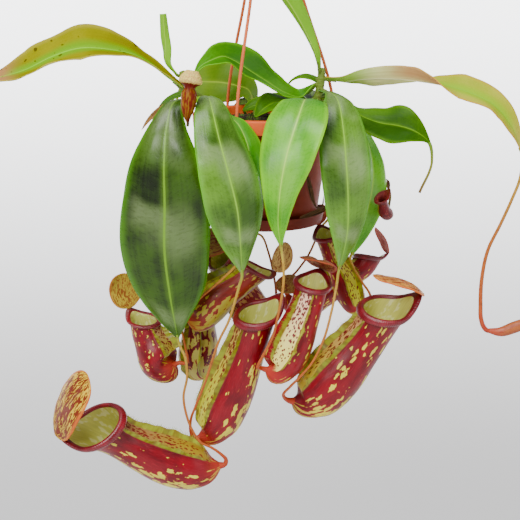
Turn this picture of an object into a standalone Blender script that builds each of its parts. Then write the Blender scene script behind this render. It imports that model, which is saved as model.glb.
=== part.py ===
"""A pitcher plant in a hanging pot, as real-size solid pieces in metres."""
import bisect
import math
import random

import bmesh
import bpy
from mathutils import Quaternion, Vector

# Sizes in millimetres. Heights are measured from the top of the pot's rim.
RIM_DROP = 225.0        # rim below the place where the hook hangs
POT_R = 60.0            # outer radius of the rim's skirt
POT_WALL = 1.5
POT_BASE_R = 41.5
POT_BASE_Z = -88.0
FLANGE = 2.0
SKIRT = 11.0
SAUCER_R = 48.4
SOIL_GAP = 0.35
ROD_R = 1.3
ROD_RING = 56.0         # radius on which the rods meet the rim
ROD_ANGLES = (5.6, 125.6, 245.6)
HUB_Z = 190.0
HOOK_R = 2.2
HOOK_INNER = 8.0
STEM_R = 3.2
STEM_GAP = 0.7
LEAF_THICK = 1.0
LID_THICK = 0.9
CUP_WALL = 1.3
TUBE_END = 2.6          # a tendril's ends are straight over this length
TENDRIL_GAP = 0.6       # from a tendril's ends to its leaf and its pitcher
LID_GAP = 0.45          # from a lid's underside to the lip's back
FOOT = 0.12             # radius of a pitcher's foot as a share of its largest radius
THICK_END = 2.4         # largest radius of a tendril where it meets a pitcher
WEB_H = 6.5             # height of the two fringed wings
LID_BACK = 0.10         # share of a lid behind its hinge

COLLECTION = "potted_nepenthes_gaya"

# Stems: the points each one runs through.
STEMS = {
    "stem_left": [(-34, -14, -30), (-34, -14, -17), (-34, -14, -4), (-39, -17, 5), (-52, -26, 14),
        (-62, -32, 24), (-66, -34, 36)],
    "stem_right": [(36, 1, -30), (36, 1, -17), (36, 1, -4), (39, 0, 6), (43, -2, 18), (45, -3, 36)],
    "stem_back": [(-8, 24, -30), (-8, 24, -18), (-8, 24, -6), (-8, 26, 0), (-9, 30, 7)],
}

# Leaves: stem, height on it, points after the stem, half width at the stem and at each point,
# twist in degrees, curl of the edges in radians, fold at the midrib, wave, number of waves.
LEAVES = {
    "leaf_01": ("stem_left", 0.74, [(-72, -50, 13), (-76, -64, -2), (-78, -73, -28), (-78, -76, -62),
        (-79, -74, -98), (-76, -68, -135), (-71, -60, -173)], [3, 7, 15, 28, 35, 36, 28, 1.2],
        (0, -16, -22, -20), -0.5, 0.10, 0.04, 2),
    "leaf_02": ("stem_left", 0.55, [(-45, -39, 17), (-42, -66, 13), (-35, -85, -12), (-28, -92, -37),
        (-22, -93, -63), (-20, -89, -88), (-19, -83, -113)], [1.0, 4.5, 12.5, 20, 24, 24, 16, 1.2], (0, 0),
        -0.5, 0.10, 0.04, 2),
    "leaf_03": ("stem_right", 0.62, [(33, -24, 12), (29, -52, 15), (23, -72, 2), (15, -84, -22),
        (10, -88, -50), (9, -86, -77), (11, -82, -92)], [3, 7, 18, 24, 22, 14, 7, 1.2], (0, 0), -0.35,
        0.12, 0.05, 2),
    "leaf_04": ("stem_right", 0.75, [(51, -22, 18), (56, -42, 13), (59, -58, -6), (61, -65, -29),
        (63, -67, -60), (63, -63, -88), (58, -56, -116)], [3, 5, 12, 19, 21, 19, 13, 1.2], (0, 0), -0.5,
        0.12, 0.04, 2),
    "leaf_05": ("stem_right", 0.62, [(57, 18, 12), (74, 12, -2), (92, 6, -9), (109, -2, -11),
        (122, -8, -15), (132, -10, -23), (135, -10, -38), (126, -8, -65)], [2, 6, 12, 17, 19, 10, 1.6,
        0.8, 0.8], (0, 50, 75, 40), -0.2, 0.12, 0.06, 2),
    "leaf_06": ("stem_right", 0.43, [(52, 20, 5), (65, 27, 3), (82, 25, -20), (90, 19, -50),
        (86, 9, -80), (78, 4, -104), (72, 2, -120)], [3, 6, 10, 16, 17, 15, 9, 1.2], (0, 20, 55, 60),
        -0.3, 0.12, 0.04, 2),
    "leaf_07": ("stem_right", 0.88, [(61, -9, 26), (75, -12, 28), (94, -16, 29), (114, -20, 28),
        (137, -24, 25), (160, -28, 19), (180, -30, 9), (195, -30, -9), (203, -28, -27)], [3, 6, 9, 12,
        14, 16, 16, 13, 8, 1.2], (-20, -50, -30, 30, 40, 20), 0.3, 0.12, 0.06, 3),
    "leaf_08": ("stem_right", 0.97, [(40, -13, 46), (33, -16, 62), (23, -22, 80), (12, -27, 97),
        (3, -32, 113), (-4, -35, 130), (-9, -36, 142)], [1.4, 4, 7, 10, 13, 12, 8, 1.2], (0, 0), 1.8, 0.0,
        0.0, 1),
    "leaf_09": ("stem_left", 0.86, [(-78, -38, 33), (-88, -42, 42), (-103, -46, 50), (-121, -50, 54),
        (-142, -52, 55), (-163, -54, 49), (-184, -54, 39), (-204, -52, 33), (-222, -48, 28)], [4, 8, 11,
        14, 18, 22, 20, 15, 7, 1.2], (-20, -20, -40, -30, -50), 0.3, 0.15, 0.08, 3),
    "leaf_10": ("stem_left", 0.97, [(-77.5, -33.5, 42), (-78, -33, 54), (-79, -32, 66), (-80, -32, 80)],
        [1.2, 4, 4.5, 4, 3], (0, 60, 90, 90), 1.2, 0.0, 0.0, 1),
    "leaf_11": ("stem_right", 0.79, [(28, -4, 13), (15, -9, 17), (1, -14, 26), (-13, -18, 35),
        (-25, -22, 43), (-34, -27, 47), (-42, -33, 45), (-50, -37, 41), (-55, -41, 35), (-57, -48, 22),
        (-60, -62, 1), (-60, -67, -2)], [3, 9, 12, 14, 15, 14, 12, 9, 4, 1.2, 0.8, 0.8, 0.8],
        (0, -40, -50, -45, -20, 0), 0.3, 0.25, 0.10, 3),
    "leaf_12": ("stem_back", 0.93, [(-14, 42, 13), (-25, 57, 16), (-38, 64, 18), (-51, 70, 18),
        (-62, 73, 18), (-70, 75, 15)], [2.5, 8, 16, 20, 19, 12, 1.2], (0, -45, -50, -40), -0.3, 0.10,
        0.05, 2),
    "leaf_13": ("stem_left", 0.38, [(-37, -37, 6), (-31, -54, 4), (-22, -65, -1), (-15, -69, -15),
        (-13, -70, -44), (-14, -67, -76), (-18, -60, -101)], [1.1, 3, 4, 8, 12, 12, 9, 1.2],
        (0, 10, 20, 15), -0.2, 0.10, 0.04, 2),
    "leaf_14": ("stem_right", 0.50, [(24, -8, 8), (11, -18, 11), (0, -30, 8), (-9, -40, 1)], [2.5, 8,
        11, 9, 1.0], (0, -20), 0.2, 0.1, 0.10, 2),
    "leaf_15": ("stem_right", 0.83, [(39, 7, 27), (31, 11, 29), (22, 14, 26), (16, 16, 19)], [2.5, 5,
        6, 5, 1.0], (0, 0), -0.6, 0.1, 0.05, 1),
    "leaf_16": ("stem_left", 0.62, [(-66, -10, 16), (-82, 2, 8), (-96, 10, -16), (-105, 14, -50),
        (-109, 16, -88), (-101, 12, -126), (-86, 5, -151)], [2, 7, 14, 18, 18, 16, 8, 1.2],
        (0, -40, -60, -60), -0.3, 0.10, 0.05, 2),
    "leaf_17": ("stem_back", 0.80, [(-9, 46, 6), (-13, 66, 1), (-19, 84, -20), (-25, 90, -54),
        (-21, 87, -88), (-14, 78, -111)], [2.5, 9, 17, 22, 20, 12, 1.2], (0, 0), -0.5, 0.10, 0.05, 2),
    "leaf_18": ("stem_right", 0.56, [(38, 22, 12), (41, 44, 13), (50, 66, 4), (62, 81, -26),
        (66, 81, -64), (57, 72, -100)], [3, 7, 13, 18, 19, 15, 1.2], (0, 0), -0.5, 0.10, 0.05, 2),
    "leaf_19": ("stem_right", 0.36, [(43, 20, 3), (52, 42, 3), (66, 56, -9), (84, 57, -30),
        (97, 45, -50), (102, 30, -63), (105, 19, -72), (103.2, 11.6, -81.2)], [2.5, 4, 7, 9, 5, 1.4, 0.8, 0.8,
        0.8], (0, 10, 20), -0.3, 0.1, 0.05, 2),
    "leaf_20": ("stem_right", 0.47, [(28, 8, 9), (14, 10, 10), (0, 10, 7), (-13, 9, 3), (-19, 8, 0)],
        [2.5, 6, 8, 8, 6, 1.0], (0, -20), 0.1, 0.1, 0.08, 2),
}

# Tendrils: leaf, pitcher, and the points between the leaf's tip and the pitcher's base.
TENDRILS = {
    "tendril_01": ("leaf_01", "pitcher_01", [(-65, -60, -191), (-64, -60, -207), (-67, -60, -223),
        (-65, -61, -238), (-60, -62, -252), (-53, -61, -263), (-45, -59, -268), (-38, -57, -274),
        (-33, -55, -281)]),
    "tendril_02": ("leaf_16", "pitcher_02", [(-80, -2, -162), (-72, -14, -178), (-67, -27, -193),
        (-66, -33, -204)]),
    "tendril_03": ("leaf_02", "pitcher_03", [(-21, -78, -125), (-25, -76, -140), (-30, -74, -156),
        (-37, -72, -171), (-43, -70, -189), (-49, -66, -209), (-57, -59, -231), (-62, -53, -247),
        (-62, -49, -259)]),
    "tendril_04": ("leaf_03", "pitcher_04", [(13, -83, -107), (13, -84, -123), (10, -85, -142),
        (4, -84, -167), (-3, -81, -182), (-7, -75, -193)]),
    "tendril_05": ("leaf_04", "pitcher_05", [(55, -66, -130), (51, -75, -147), (45, -80, -168),
        (36, -81, -187), (27, -77, -200), (19, -68, -212), (14, -58, -223)]),
    "tendril_06": ("leaf_06", "pitcher_06", [(73, 0, -129), (80, -4, -141), (88, -2, -154)]),
    "tendril_07": ("leaf_18", "pitcher_07", [(48, 66, -112), (44, 62, -122), (38, 58, -134),
        (28, 53, -147), (18, 49, -158)]),
    "tendril_08": ("leaf_13", "pitcher_08", [(-23, -56, -113), (-36, -54, -127), (-51, -50, -141),
        (-63, -45, -153), (-69, -38, -162)]),
    "tendril_09": ("leaf_17", "pitcher_09", [(-3, 66, -119), (2, 54, -129), (7, 41, -148),
        (9, 31, -163)]),
    "tendril_10": ("leaf_12", "pitcher_10", [(-77, 72, 4), (-80, 67, -26), (-75, 58, -66),
        (-66, 50, -109), (-56, 46, -140), (-50, 42, -170), (-46, 38, -198), (-44, 28, -217)]),
    "tendril_11": ("leaf_07", "pitcher_13", [(205, -27, -36), (204, -26, -50), (198, -26, -68),
        (190, -26, -88), (181, -26, -109), (177, -26, -134), (177, -26, -156), (179, -26, -170)]),
}

# Pitchers: points from the tendril to the mouth, direction in which the wings face, largest
# radius, radius of the mouth as a share of it, height of the peak behind the mouth as a share,
# lid as (angle over the mouth, roll, length, half width, yaw) or nothing, wings or not.
PITCHERS = {
    "pitcher_01": ([(-38, -54, -286), (-46, -54, -288), (-59, -54, -287), (-75, -55, -283),
        (-95, -60, -273), (-117, -68, -258), (-138, -78, -241)], (0.4, -0.35, 0.85), 20.5, 1.0, 0.45,
        (14, 14, 61, 24), True),
    "pitcher_02": ([(-76, -31, -206), (-81, -29, -209), (-87, -26, -206), (-93, -24, -195),
        (-98, -22, -183), (-102, -21, -169)], (0.8, -0.6, 0.1), 17, 0.66, 0.4, (75, -50, 30, 14), True),
    "pitcher_03": ([(-56, -46, -265), (-50, -44, -264), (-42, -42, -254), (-33, -41, -235),
        (-21, -42, -205), (-13, -44, -180), (-6, -47, -155)], (-0.85, -0.5, 0.1), 19.5, 0.80, 0.55,
        (155, 0, 24, 11, 35), True),
    "pitcher_04": ([(0, -66, -198), (6, -65, -200), (13, -61, -193), (22, -56, -175), (31, -51, -153),
        (38, -46, -130)], (-0.25, -0.95, 0.2), 17.5, 0.73, 0.35, (8, 0, 36, 16), True),
    "pitcher_05": ([(22, -50, -231), (28, -48, -233), (39, -46, -228), (55, -45, -213), (73, -46, -190),
        (87, -48, -169), (97, -52, -150)], (-0.8, -0.35, 0.5), 22, 0.80, 0.7, (0, 12, 44, 15), True),
    "pitcher_06": ([(83, 8, -168), (78, 10, -168), (73, 12, -159), (67, 14, -142), (58, 18, -125),
        (52, 24, -107)], (0.3, -0.95, 0.1), 12.5, 0.85, 0.5, (45, 0, 20, 9), True),
    "pitcher_07": ([(19, 46, -167), (23, 46, -175), (33, 46, -176), (50, 48, -167), (71, 52, -154),
        (86, 56, -145), (93, 60, -135)], (-0.95, -0.1, 0.3), 13, 0.85, 0.5, (30, 0, 24, 9), True),
    "pitcher_08": ([(-65, -32, -167), (-58, -30, -167), (-49, -28, -158), (-36, -27, -146),
        (-21, -25, -136), (-7, -22, -125)], (-0.6, -0.35, 0.7), 15.5, 0.80, 0.3, (56, 45, 25, 9), True),
    "pitcher_09": ([(5, 24, -173), (-1, 22, -179), (-9, 18, -173), (-20, 12, -155), (-29, 2, -135),
        (-38, -12, -116)], (-0.6, 0.2, -0.6), 14.5, 0.85, 0.4, (15, 0, 38, 16), True),
    "pitcher_10": ([(-51, 14, -222), (-56, 11, -224), (-59, 8, -215), (-57, 6, -196), (-57, 4, -177),
        (-59, 2, -157)], (-0.3, -0.95, 0), 16.5, 0.80, 0.3, None, True),
    "pitcher_11": ([(103, 11, -82), (102, 8, -86), (99, 4, -83), (97, 0, -76), (96, -4, -69)],
        (-1, -0.2, 0), 5.6, 1.0, 0.5, None, False),
}
# Closed pitchers: points, facing direction, largest radius, radius along the length as shares.
BUDS = {
    "pitcher_12": ([(-60, -69, 1), (-60, -69, 7), (-59, -67, 17), (-58, -65, 28), (-56, -63, 39)],
        (0, -1, 0), 8.2, [(0.0, 0.12), (0.08, 0.30), (0.3, 0.66), (0.55, 0.72), (0.70, 0.60),
        (0.76, 1.0), (0.88, 0.96), (1.0, 0.55)]),
    "pitcher_13": ([(185, -26, -178), (194, -26, -179), (206, -26, -175), (221, -26, -169)], (0, 0, 1),
        4.5, [(0.0, 0.25), (0.1, 0.35), (0.3, 0.75), (0.55, 1.0), (0.8, 0.9), (0.93, 0.7),
        (1.0, 0.35)]),
}

# Radius of a pitcher along its length as a share of its largest radius, up to below the mouth.
BODY = [(0.0, 0.13), (0.03, 0.32), (0.08, 0.62), (0.17, 0.90), (0.29, 1.0), (0.44, 0.97),
        (0.62, 0.83), (0.80, 0.75)]
WING_ANGLES = (17, 22, 24, 29)


def smooth(knots, values, t):
    """The value at t on a smooth line through one value a knot."""
    last = len(knots) - 1
    i = max(0, min(last - 1, bisect.bisect_right(knots, t) - 1))

    def slope(k):
        if k == 0:
            return (values[1] - values[0]) / (knots[1] - knots[0])
        if k == last:
            return (values[last] - values[last - 1]) / (knots[last] - knots[last - 1])
        a = knots[k] - knots[k - 1]
        b = knots[k + 1] - knots[k]
        return ((values[k] - values[k - 1]) / a * b + (values[k + 1] - values[k]) / b * a) / (a + b)

    h = knots[i + 1] - knots[i]
    x = min(1.0, max(0.0, (t - knots[i]) / h))
    p = values[i] * (2 * x**3 - 3 * x**2 + 1) + values[i + 1] * (3 * x**2 - 2 * x**3)
    return p + (slope(i) * (x**3 - 2 * x**2 + x) + slope(i + 1) * (x**3 - x**2)) * h


def spread(values, v):
    """The value at v from 0 to 1 on straight lines between evenly spaced values."""
    if len(values) == 1:
        return values[0]
    x = min(max(v, 0.0), 1.0) * (len(values) - 1)
    i = min(int(x), len(values) - 2)
    return values[i] + (values[i + 1] - values[i]) * (x - i)


class Route:
    """A smooth line through points, with a face direction carried along it."""

    STEPS = 72

    def __init__(self, points, face, from_end=False):
        self.points = [Vector(p) for p in points]
        self.knots = [0.0]
        for a, b in zip(self.points, self.points[1:]):
            self.knots.append(self.knots[-1] + (b - a).length)
        self.length = self.knots[-1]
        order = range(self.STEPS + 1)
        faces = {}
        held = Vector(face)
        for k in reversed(order) if from_end else order:
            t = self.tangent(k / self.STEPS)
            held = (held - t * held.dot(t)).normalized()
            faces[k] = held
        self.faces = [faces[k] for k in order]

    def point(self, v):
        return smooth(self.knots, self.points, v * self.length)

    def tangent(self, v):
        a = max(0.0, v - 0.004)
        b = min(1.0, v + 0.004)
        return (self.point(b) - self.point(a)).normalized()

    def frame(self, v):
        """Point, tangent, face direction and side direction at v from 0 to 1."""
        t = self.tangent(v)
        face = spread(self.faces, v)
        face = (face - t * face.dot(t)).normalized()
        return self.point(v), t, face, t.cross(face)


def clear():
    for ob in list(bpy.data.objects):
        bpy.data.objects.remove(ob, do_unlink=True)
    for group in list(bpy.data.collections):
        bpy.data.collections.remove(group)


def material(name, colour, rough):
    mat = bpy.data.materials.new(name)
    mat.use_nodes = True
    shader = mat.node_tree.nodes["Principled BSDF"]
    shader.inputs["Base Color"].default_value = (*colour, 1.0)
    shader.inputs["Roughness"].default_value = rough
    mat.diffuse_color = (*colour, 1.0)
    return mat


def to_world(bm):
    """From millimetres over the rim to metres under the hook."""
    for v in bm.verts:
        v.co = (v.co - Vector((0, 0, RIM_DROP))) * 0.001


def add(name, bm, mat, group):
    to_world(bm)
    mesh = bpy.data.meshes.new(name)
    bm.to_mesh(mesh)
    bm.free()
    ob = bpy.data.objects.new(name, mesh)
    mesh.materials.append(mat)
    group.objects.link(ob)
    return ob


def stem_start(stem, height, toward):
    """Where a leaf starts on its stem."""
    route = Route(STEMS[stem], (0, 1, 0))
    centre, t, _, _ = route.frame(height)
    out = Vector(toward) - centre
    out = (out - t * out.dot(t)).normalized()
    return centre + out * (STEM_R + STEM_GAP)


def leaf_route(row):
    stem, height, points = row[:3]
    return Route([stem_start(stem, height, points[0])] + points, (0, 0, 1))


def sheet_point(route, halves, twist, curl, fold, wave, waves, x, v):
    """A place on a blade: x from -1 to 1 across it, v from 0 to 1 along it."""
    centre, t, face, side = route.frame(v)
    turn = Quaternion(t, math.radians(spread(twist, v)))
    face = turn @ face
    side = turn @ side
    w = max(0.7, smooth(route.knots, halves, v * route.length))
    a = curl if abs(curl) > 1e-3 else 1e-3
    across = w * math.sin(a * x) / a
    up = w * (1 - math.cos(a * x)) / a
    up += w * fold * abs(x)
    up += w * wave * x * x * math.sin(2 * math.pi * waves * v + (0.0 if x > 0 else 1.7))
    return centre + side * across + face * up


def blade(name, route, halves, twist, curl, fold, wave, waves, across, along, thick, mat, group,
          round_ends=False):
    bm = bmesh.new()
    bmesh.ops.create_grid(bm, x_segments=across, y_segments=along, size=1.0)
    for vert in bm.verts:
        x = vert.co.x
        v = (vert.co.y + 1) / 2
        if round_ends:
            v = (1 - math.cos(math.pi * v)) / 2
        vert.co = sheet_point(route, halves, twist, curl, fold, wave, waves, x, v)
    bmesh.ops.triangulate(bm, faces=bm.faces[:])
    bmesh.ops.recalc_face_normals(bm, faces=bm.faces[:])
    ob = add(name, bm, mat, group)
    shell = ob.modifiers.new("thickness", "SOLIDIFY")
    shell.thickness = thick * 0.001
    shell.offset = 0.0
    return ob


def tendril_points(leaf, pitcher, between):
    """Points from just off the leaf's tip to just off the pitcher's base, and the last radius."""
    first = leaf_route(LEAVES[leaf])
    row = PITCHERS.get(pitcher) or BUDS[pitcher]
    last = Route(row[0], row[1], from_end=True)
    tip, down = first.point(1.0), first.tangent(1.0)
    base, up = last.point(0.0), last.tangent(0.0)
    ends = [tip + down * TENDRIL_GAP, tip + down * 3.5], [base - up * 4.0, base - up * TENDRIL_GAP]
    return ends[0] + between + ends[1], min(FOOT * row[2], THICK_END)


def tube(name, points, radii, sides, steps, mat, group, straight=False):
    """A tapered round wire through the points, radii given at its ends or evenly along it."""
    route = Route(points, (0.31, 0.2, 0.9))
    curve = bpy.data.curves.new(name, "CURVE")
    curve.dimensions = "3D"
    curve.bevel_depth = 0.001
    curve.bevel_resolution = sides
    curve.use_fill_caps = True
    curve.render_resolution_u = 0
    spline = curve.splines.new("POLY")
    if straight:
        places = [k / route.length for k in route.knots]
    else:
        end = TUBE_END / route.length
        places = [0.0] + [end + (1 - 2 * end) * k / (steps - 2) for k in range(steps - 1)] + [1.0]
    spline.points.add(len(places) - 1)
    for v, point in zip(places, spline.points):
        place = (route.point(v) - Vector((0, 0, RIM_DROP))) * 0.001
        point.co = (*place, 1.0)
        point.radius = spread(radii, v)
    ob = bpy.data.objects.new(name, curve)
    curve.materials.append(mat)
    group.objects.link(ob)
    return ob


def ring_angles(winged):
    """Directions round a pitcher in degrees, 0 between the wings."""
    rest = [60, 95, 135, 180, 225, 265, 300]
    if not winged:
        return [0, 30] + rest + [330]
    return [0, *WING_ANGLES] + rest + [360 - a for a in reversed(WING_ANGLES)]


def lip_size(big):
    """How far the rolled lip stands out from the mouth."""
    return 0.12 * big + 1.0


def web_height(s):
    x = (s - 0.10) / 0.86
    return WEB_H * math.sin(math.pi * x) ** 0.5 if 0 < x < 1 else 0.0


def body_radius(s, mouth=0.8):
    """Share of the largest radius at s along a pitcher."""
    body = BODY + [(1.0, mouth)]
    return smooth([b[0] for b in body], [b[1] for b in body], s)


def cup_point(route, angle, s, radius, lift, peak):
    """A place on a pitcher: angle from the wings, place along it, radius, share of the slant, peak."""
    centre, t, face, side = route.frame(min(s, 1.0))
    c = math.cos(math.radians(angle))
    n = math.sin(math.radians(angle))
    slant = -0.42 * c + peak * max(0.0, -c) ** 5
    return centre + (face * c + side * n) * radius + t * (lift * slant * radius)


def cup(name, route, big, share, peak, winged, mat, group):
    """A hollow pitcher with a rolled lip, open at its mouth."""
    rows = [(0.0, 0.0, 0.0, 0.0), (0.0, FOOT * big, 0.0, 0.0)]
    for s in (0.04, 0.11, 0.22, 0.36, 0.54, 0.72, 0.87):
        rows.append((s, body_radius(s, share) * big, max(0.0, s - 0.6) * 2.0, web_height(s)))
    web = web_height(0.94) * 0.5
    mouth = share * big
    lip = lip_size(big)
    rows.append((0.955, mouth, 1.0, web))
    rows.append((0.95, mouth + lip * 0.85, 1.0, 0.0))
    rows.append((0.975, mouth + lip, 1.0, 0.0))
    rows.append((1.0, mouth + lip * 0.25, 1.0, 0.0))
    rows.append((0.985, mouth - lip * 0.35, 1.0, 0.0))
    for s in (0.87, 0.62, 0.38):
        rows.append((s, body_radius(s, share) * big - CUP_WALL, max(0.0, s - 0.6) * 2.0, 0.0))
    rows.append((0.22, body_radius(0.22) * big * 0.55, 0.0, 0.0))
    rows.append((0.18, 0.0, 0.0, 0.0))
    angles = ring_angles(winged)
    bm = bmesh.new()
    bmesh.ops.create_grid(bm, x_segments=len(angles), y_segments=len(rows) - 1, size=1.0)
    for vert in bm.verts:
        i = round((vert.co.x + 1) / 2 * len(angles)) % len(angles)
        j = round((vert.co.y + 1) / 2 * (len(rows) - 1))
        s, radius, lift, web = rows[j]
        off = min(angles[i], 360 - angles[i])
        if winged and off in WING_ANGLES[1:3]:
            radius += web
        vert.co = cup_point(route, angles[i], s, radius, lift, peak)
    bmesh.ops.remove_doubles(bm, verts=bm.verts[:], dist=1e-4)
    bmesh.ops.triangulate(bm, faces=bm.faces[:])
    bmesh.ops.recalc_face_normals(bm, faces=bm.faces[:])
    return add(name, bm, mat, group)


def bud(name, route, big, body, mat, group):
    """A closed young pitcher."""
    rows = [(0.0, 0.0)] + body + [(1.0, 0.0)]
    sides = 10
    bm = bmesh.new()
    bmesh.ops.create_grid(bm, x_segments=sides, y_segments=len(rows) - 1, size=1.0)
    for vert in bm.verts:
        i = round((vert.co.x + 1) / 2 * sides) % sides
        j = round((vert.co.y + 1) / 2 * (len(rows) - 1))
        s, share = rows[j]
        vert.co = cup_point(route, 360 * i / sides, s, share * big, 0.0, 0.0)
    bmesh.ops.remove_doubles(bm, verts=bm.verts[:], dist=1e-4)
    bmesh.ops.triangulate(bm, faces=bm.faces[:])
    bmesh.ops.recalc_face_normals(bm, faces=bm.faces[:])
    return add(name, bm, mat, group)


def lid_route(route, big, share, peak, lid):
    """The lid's line from the back of the mouth out over it."""
    angle, _, length = lid[:3]
    yaw = lid[4] if len(lid) > 4 else 0
    _, t, face, _ = route.frame(1.0)
    start = cup_point(route, 180, 1.0, share * big + lip_size(big) * 0.25, 1.0, peak)
    face = Quaternion(t, math.radians(yaw)) @ face
    a = math.radians(angle)
    along = face * math.cos(a) + t * math.sin(a)
    over = t * math.cos(a) - face * math.sin(a)
    start = start + t * 0.4 + (along + t).normalized() * (LID_THICK / 2 + LID_GAP)
    back = LID_BACK * max(0.0, math.cos(a))
    line = [(-back, 0.0), (0.17, 0.06), (0.45, 0.09), (0.73, 0.06), (1.0, 0.0)]
    points = [start + (along * out + over * up) * length for out, up in line]
    return Route(points, over)


def lid_halves(width):
    return [width * 0.1, width * 0.88, width, width * 0.84, width * 0.1]


def turned(name, profile, steps, mat, group):
    """A round piece from a profile of (radius, height) pairs that runs down its outer side."""
    mesh = bpy.data.meshes.new(name)
    verts = [(r * 0.001, 0.0, (z - RIM_DROP) * 0.001) for r, z in profile]
    mesh.from_pydata(verts, [(i, i + 1) for i in range(len(verts) - 1)], [])
    ob = bpy.data.objects.new(name, mesh)
    mesh.materials.append(mat)
    group.objects.link(ob)
    spin = ob.modifiers.new("turn", "SCREW")
    spin.steps = steps
    spin.render_steps = steps
    spin.use_merge_vertices = True
    spin.merge_threshold = 0.00001
    spin.use_smooth_shade = False
    return ob


def as_mesh(ob):
    """The object with its modifiers or bevel made into plain mesh."""
    bpy.context.view_layer.update()
    graph = bpy.context.evaluated_depsgraph_get()
    mesh = bpy.data.meshes.new_from_object(ob.evaluated_get(graph), depsgraph=graph)
    bm = bmesh.new()
    bm.from_mesh(mesh)
    bmesh.ops.remove_doubles(bm, verts=bm.verts[:], dist=1e-6)
    bmesh.ops.triangulate(bm, faces=bm.faces[:])
    bmesh.ops.recalc_face_normals(bm, faces=bm.faces[:])
    bm.to_mesh(mesh)
    bm.free()
    new = bpy.data.objects.new(ob.name + "_mesh", mesh)
    for group in ob.users_collection:
        group.objects.link(new)
    name = ob.name
    bpy.data.objects.remove(ob, do_unlink=True)
    new.name = name
    return new


def combine(ob, others, operation):
    for other in others:
        mod = ob.modifiers.new("with_" + other.name, "BOOLEAN")
        mod.operation = operation
        mod.object = other
        mod.solver = "EXACT"


def peg(name, centre, radius, low, high, group):
    bm = bmesh.new()
    bmesh.ops.create_cone(bm, cap_ends=True, segments=12, radius1=radius, radius2=radius,
                          depth=high - low)
    for v in bm.verts:
        v.co.rotate(Quaternion((0, 0, 1), 0.13))
        v.co += Vector((centre[0], centre[1], (low + high) / 2))
    to_world(bm)
    mesh = bpy.data.meshes.new(name)
    bm.to_mesh(mesh)
    bm.free()
    ob = bpy.data.objects.new(name, mesh)
    ob.hide_render = True
    ob.display_type = "WIRE"
    group.objects.link(ob)
    return ob


def pot_inner(z):
    """Radius of the pot's inside at a height."""
    top = POT_R - 8.0
    low = POT_BASE_R - POT_WALL
    return low + (top - low) * (z - POT_BASE_Z) / -POT_BASE_Z


def build_pot(mat, group, cutters):
    wall = POT_WALL
    floor = POT_BASE_Z + 2.0
    profile = [
        (0, floor),
        (pot_inner(floor) - 2, floor),
        (pot_inner(floor + 2), floor + 2),
        (pot_inner(0), -0.8),
        (pot_inner(0) + 1.0, 0),
        (POT_R - 0.8, 0),
        (POT_R, -0.8),
        (POT_R - 0.6, -SKIRT),
        (POT_R - 2.0, -SKIRT),
        (POT_R - 1.4, -FLANGE),
        (pot_inner(-FLANGE) + wall, -FLANGE),
        (pot_inner(POT_BASE_Z + 3) + wall, POT_BASE_Z + 3),
        (POT_BASE_R - 2.0, POT_BASE_Z),
        (0, POT_BASE_Z),
    ]
    pot = as_mesh(turned("pot", profile, 30, mat, group))
    holes = []
    for k, angle in enumerate(ROD_ANGLES):
        a = math.radians(angle)
        place = (ROD_RING * math.cos(a), ROD_RING * math.sin(a))
        holes.append(peg(f"cut_rod_{k}", place, ROD_R + 0.45, -4.0, 2.0, cutters))
    combine(pot, holes, "DIFFERENCE")
    return pot


def build_saucer(mat, group):
    top = POT_BASE_Z - 0.3
    profile = [
        (0, top),
        (43.0, top),
        (SAUCER_R - 1.6, POT_BASE_Z + 8.0),
        (SAUCER_R, POT_BASE_Z + 8.0),
        (SAUCER_R - 2.4, top - 1.0),
        (SAUCER_R - 3.6, top - 1.5),
        (0, top - 1.5),
    ]
    return turned("saucer", profile, 32, mat, group)


def build_soil(mat, group, cutters):
    floor = POT_BASE_Z + 2.0 + SOIL_GAP
    gap = SOIL_GAP + 0.15
    profile = [
        (0, -6.5),
        (15, -5.5),
        (28, -7.5),
        (40, -7.0),
        (pot_inner(-9.5) - gap, -9.5),
        (pot_inner(floor + 3) - gap, floor + 3),
        (pot_inner(floor) - 3 - gap, floor),
        (0, floor),
    ]
    soil = as_mesh(turned("soil", profile, 22, mat, group))
    rng = random.Random(11)
    for v in soil.data.vertices:
        z = v.co.z * 1000 + RIM_DROP
        r = math.hypot(v.co.x, v.co.y) * 1000
        if z > -9 and r < 46:
            v.co.z += rng.uniform(-1.4, 1.4) * 0.001
    holes = []
    for name, points in STEMS.items():
        holes.append(peg("cut_" + name, points[0][:2], STEM_R + 0.8, points[0][2] - 0.4, 6.0, cutters))
    combine(soil, holes, "DIFFERENCE")
    return soil


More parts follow.
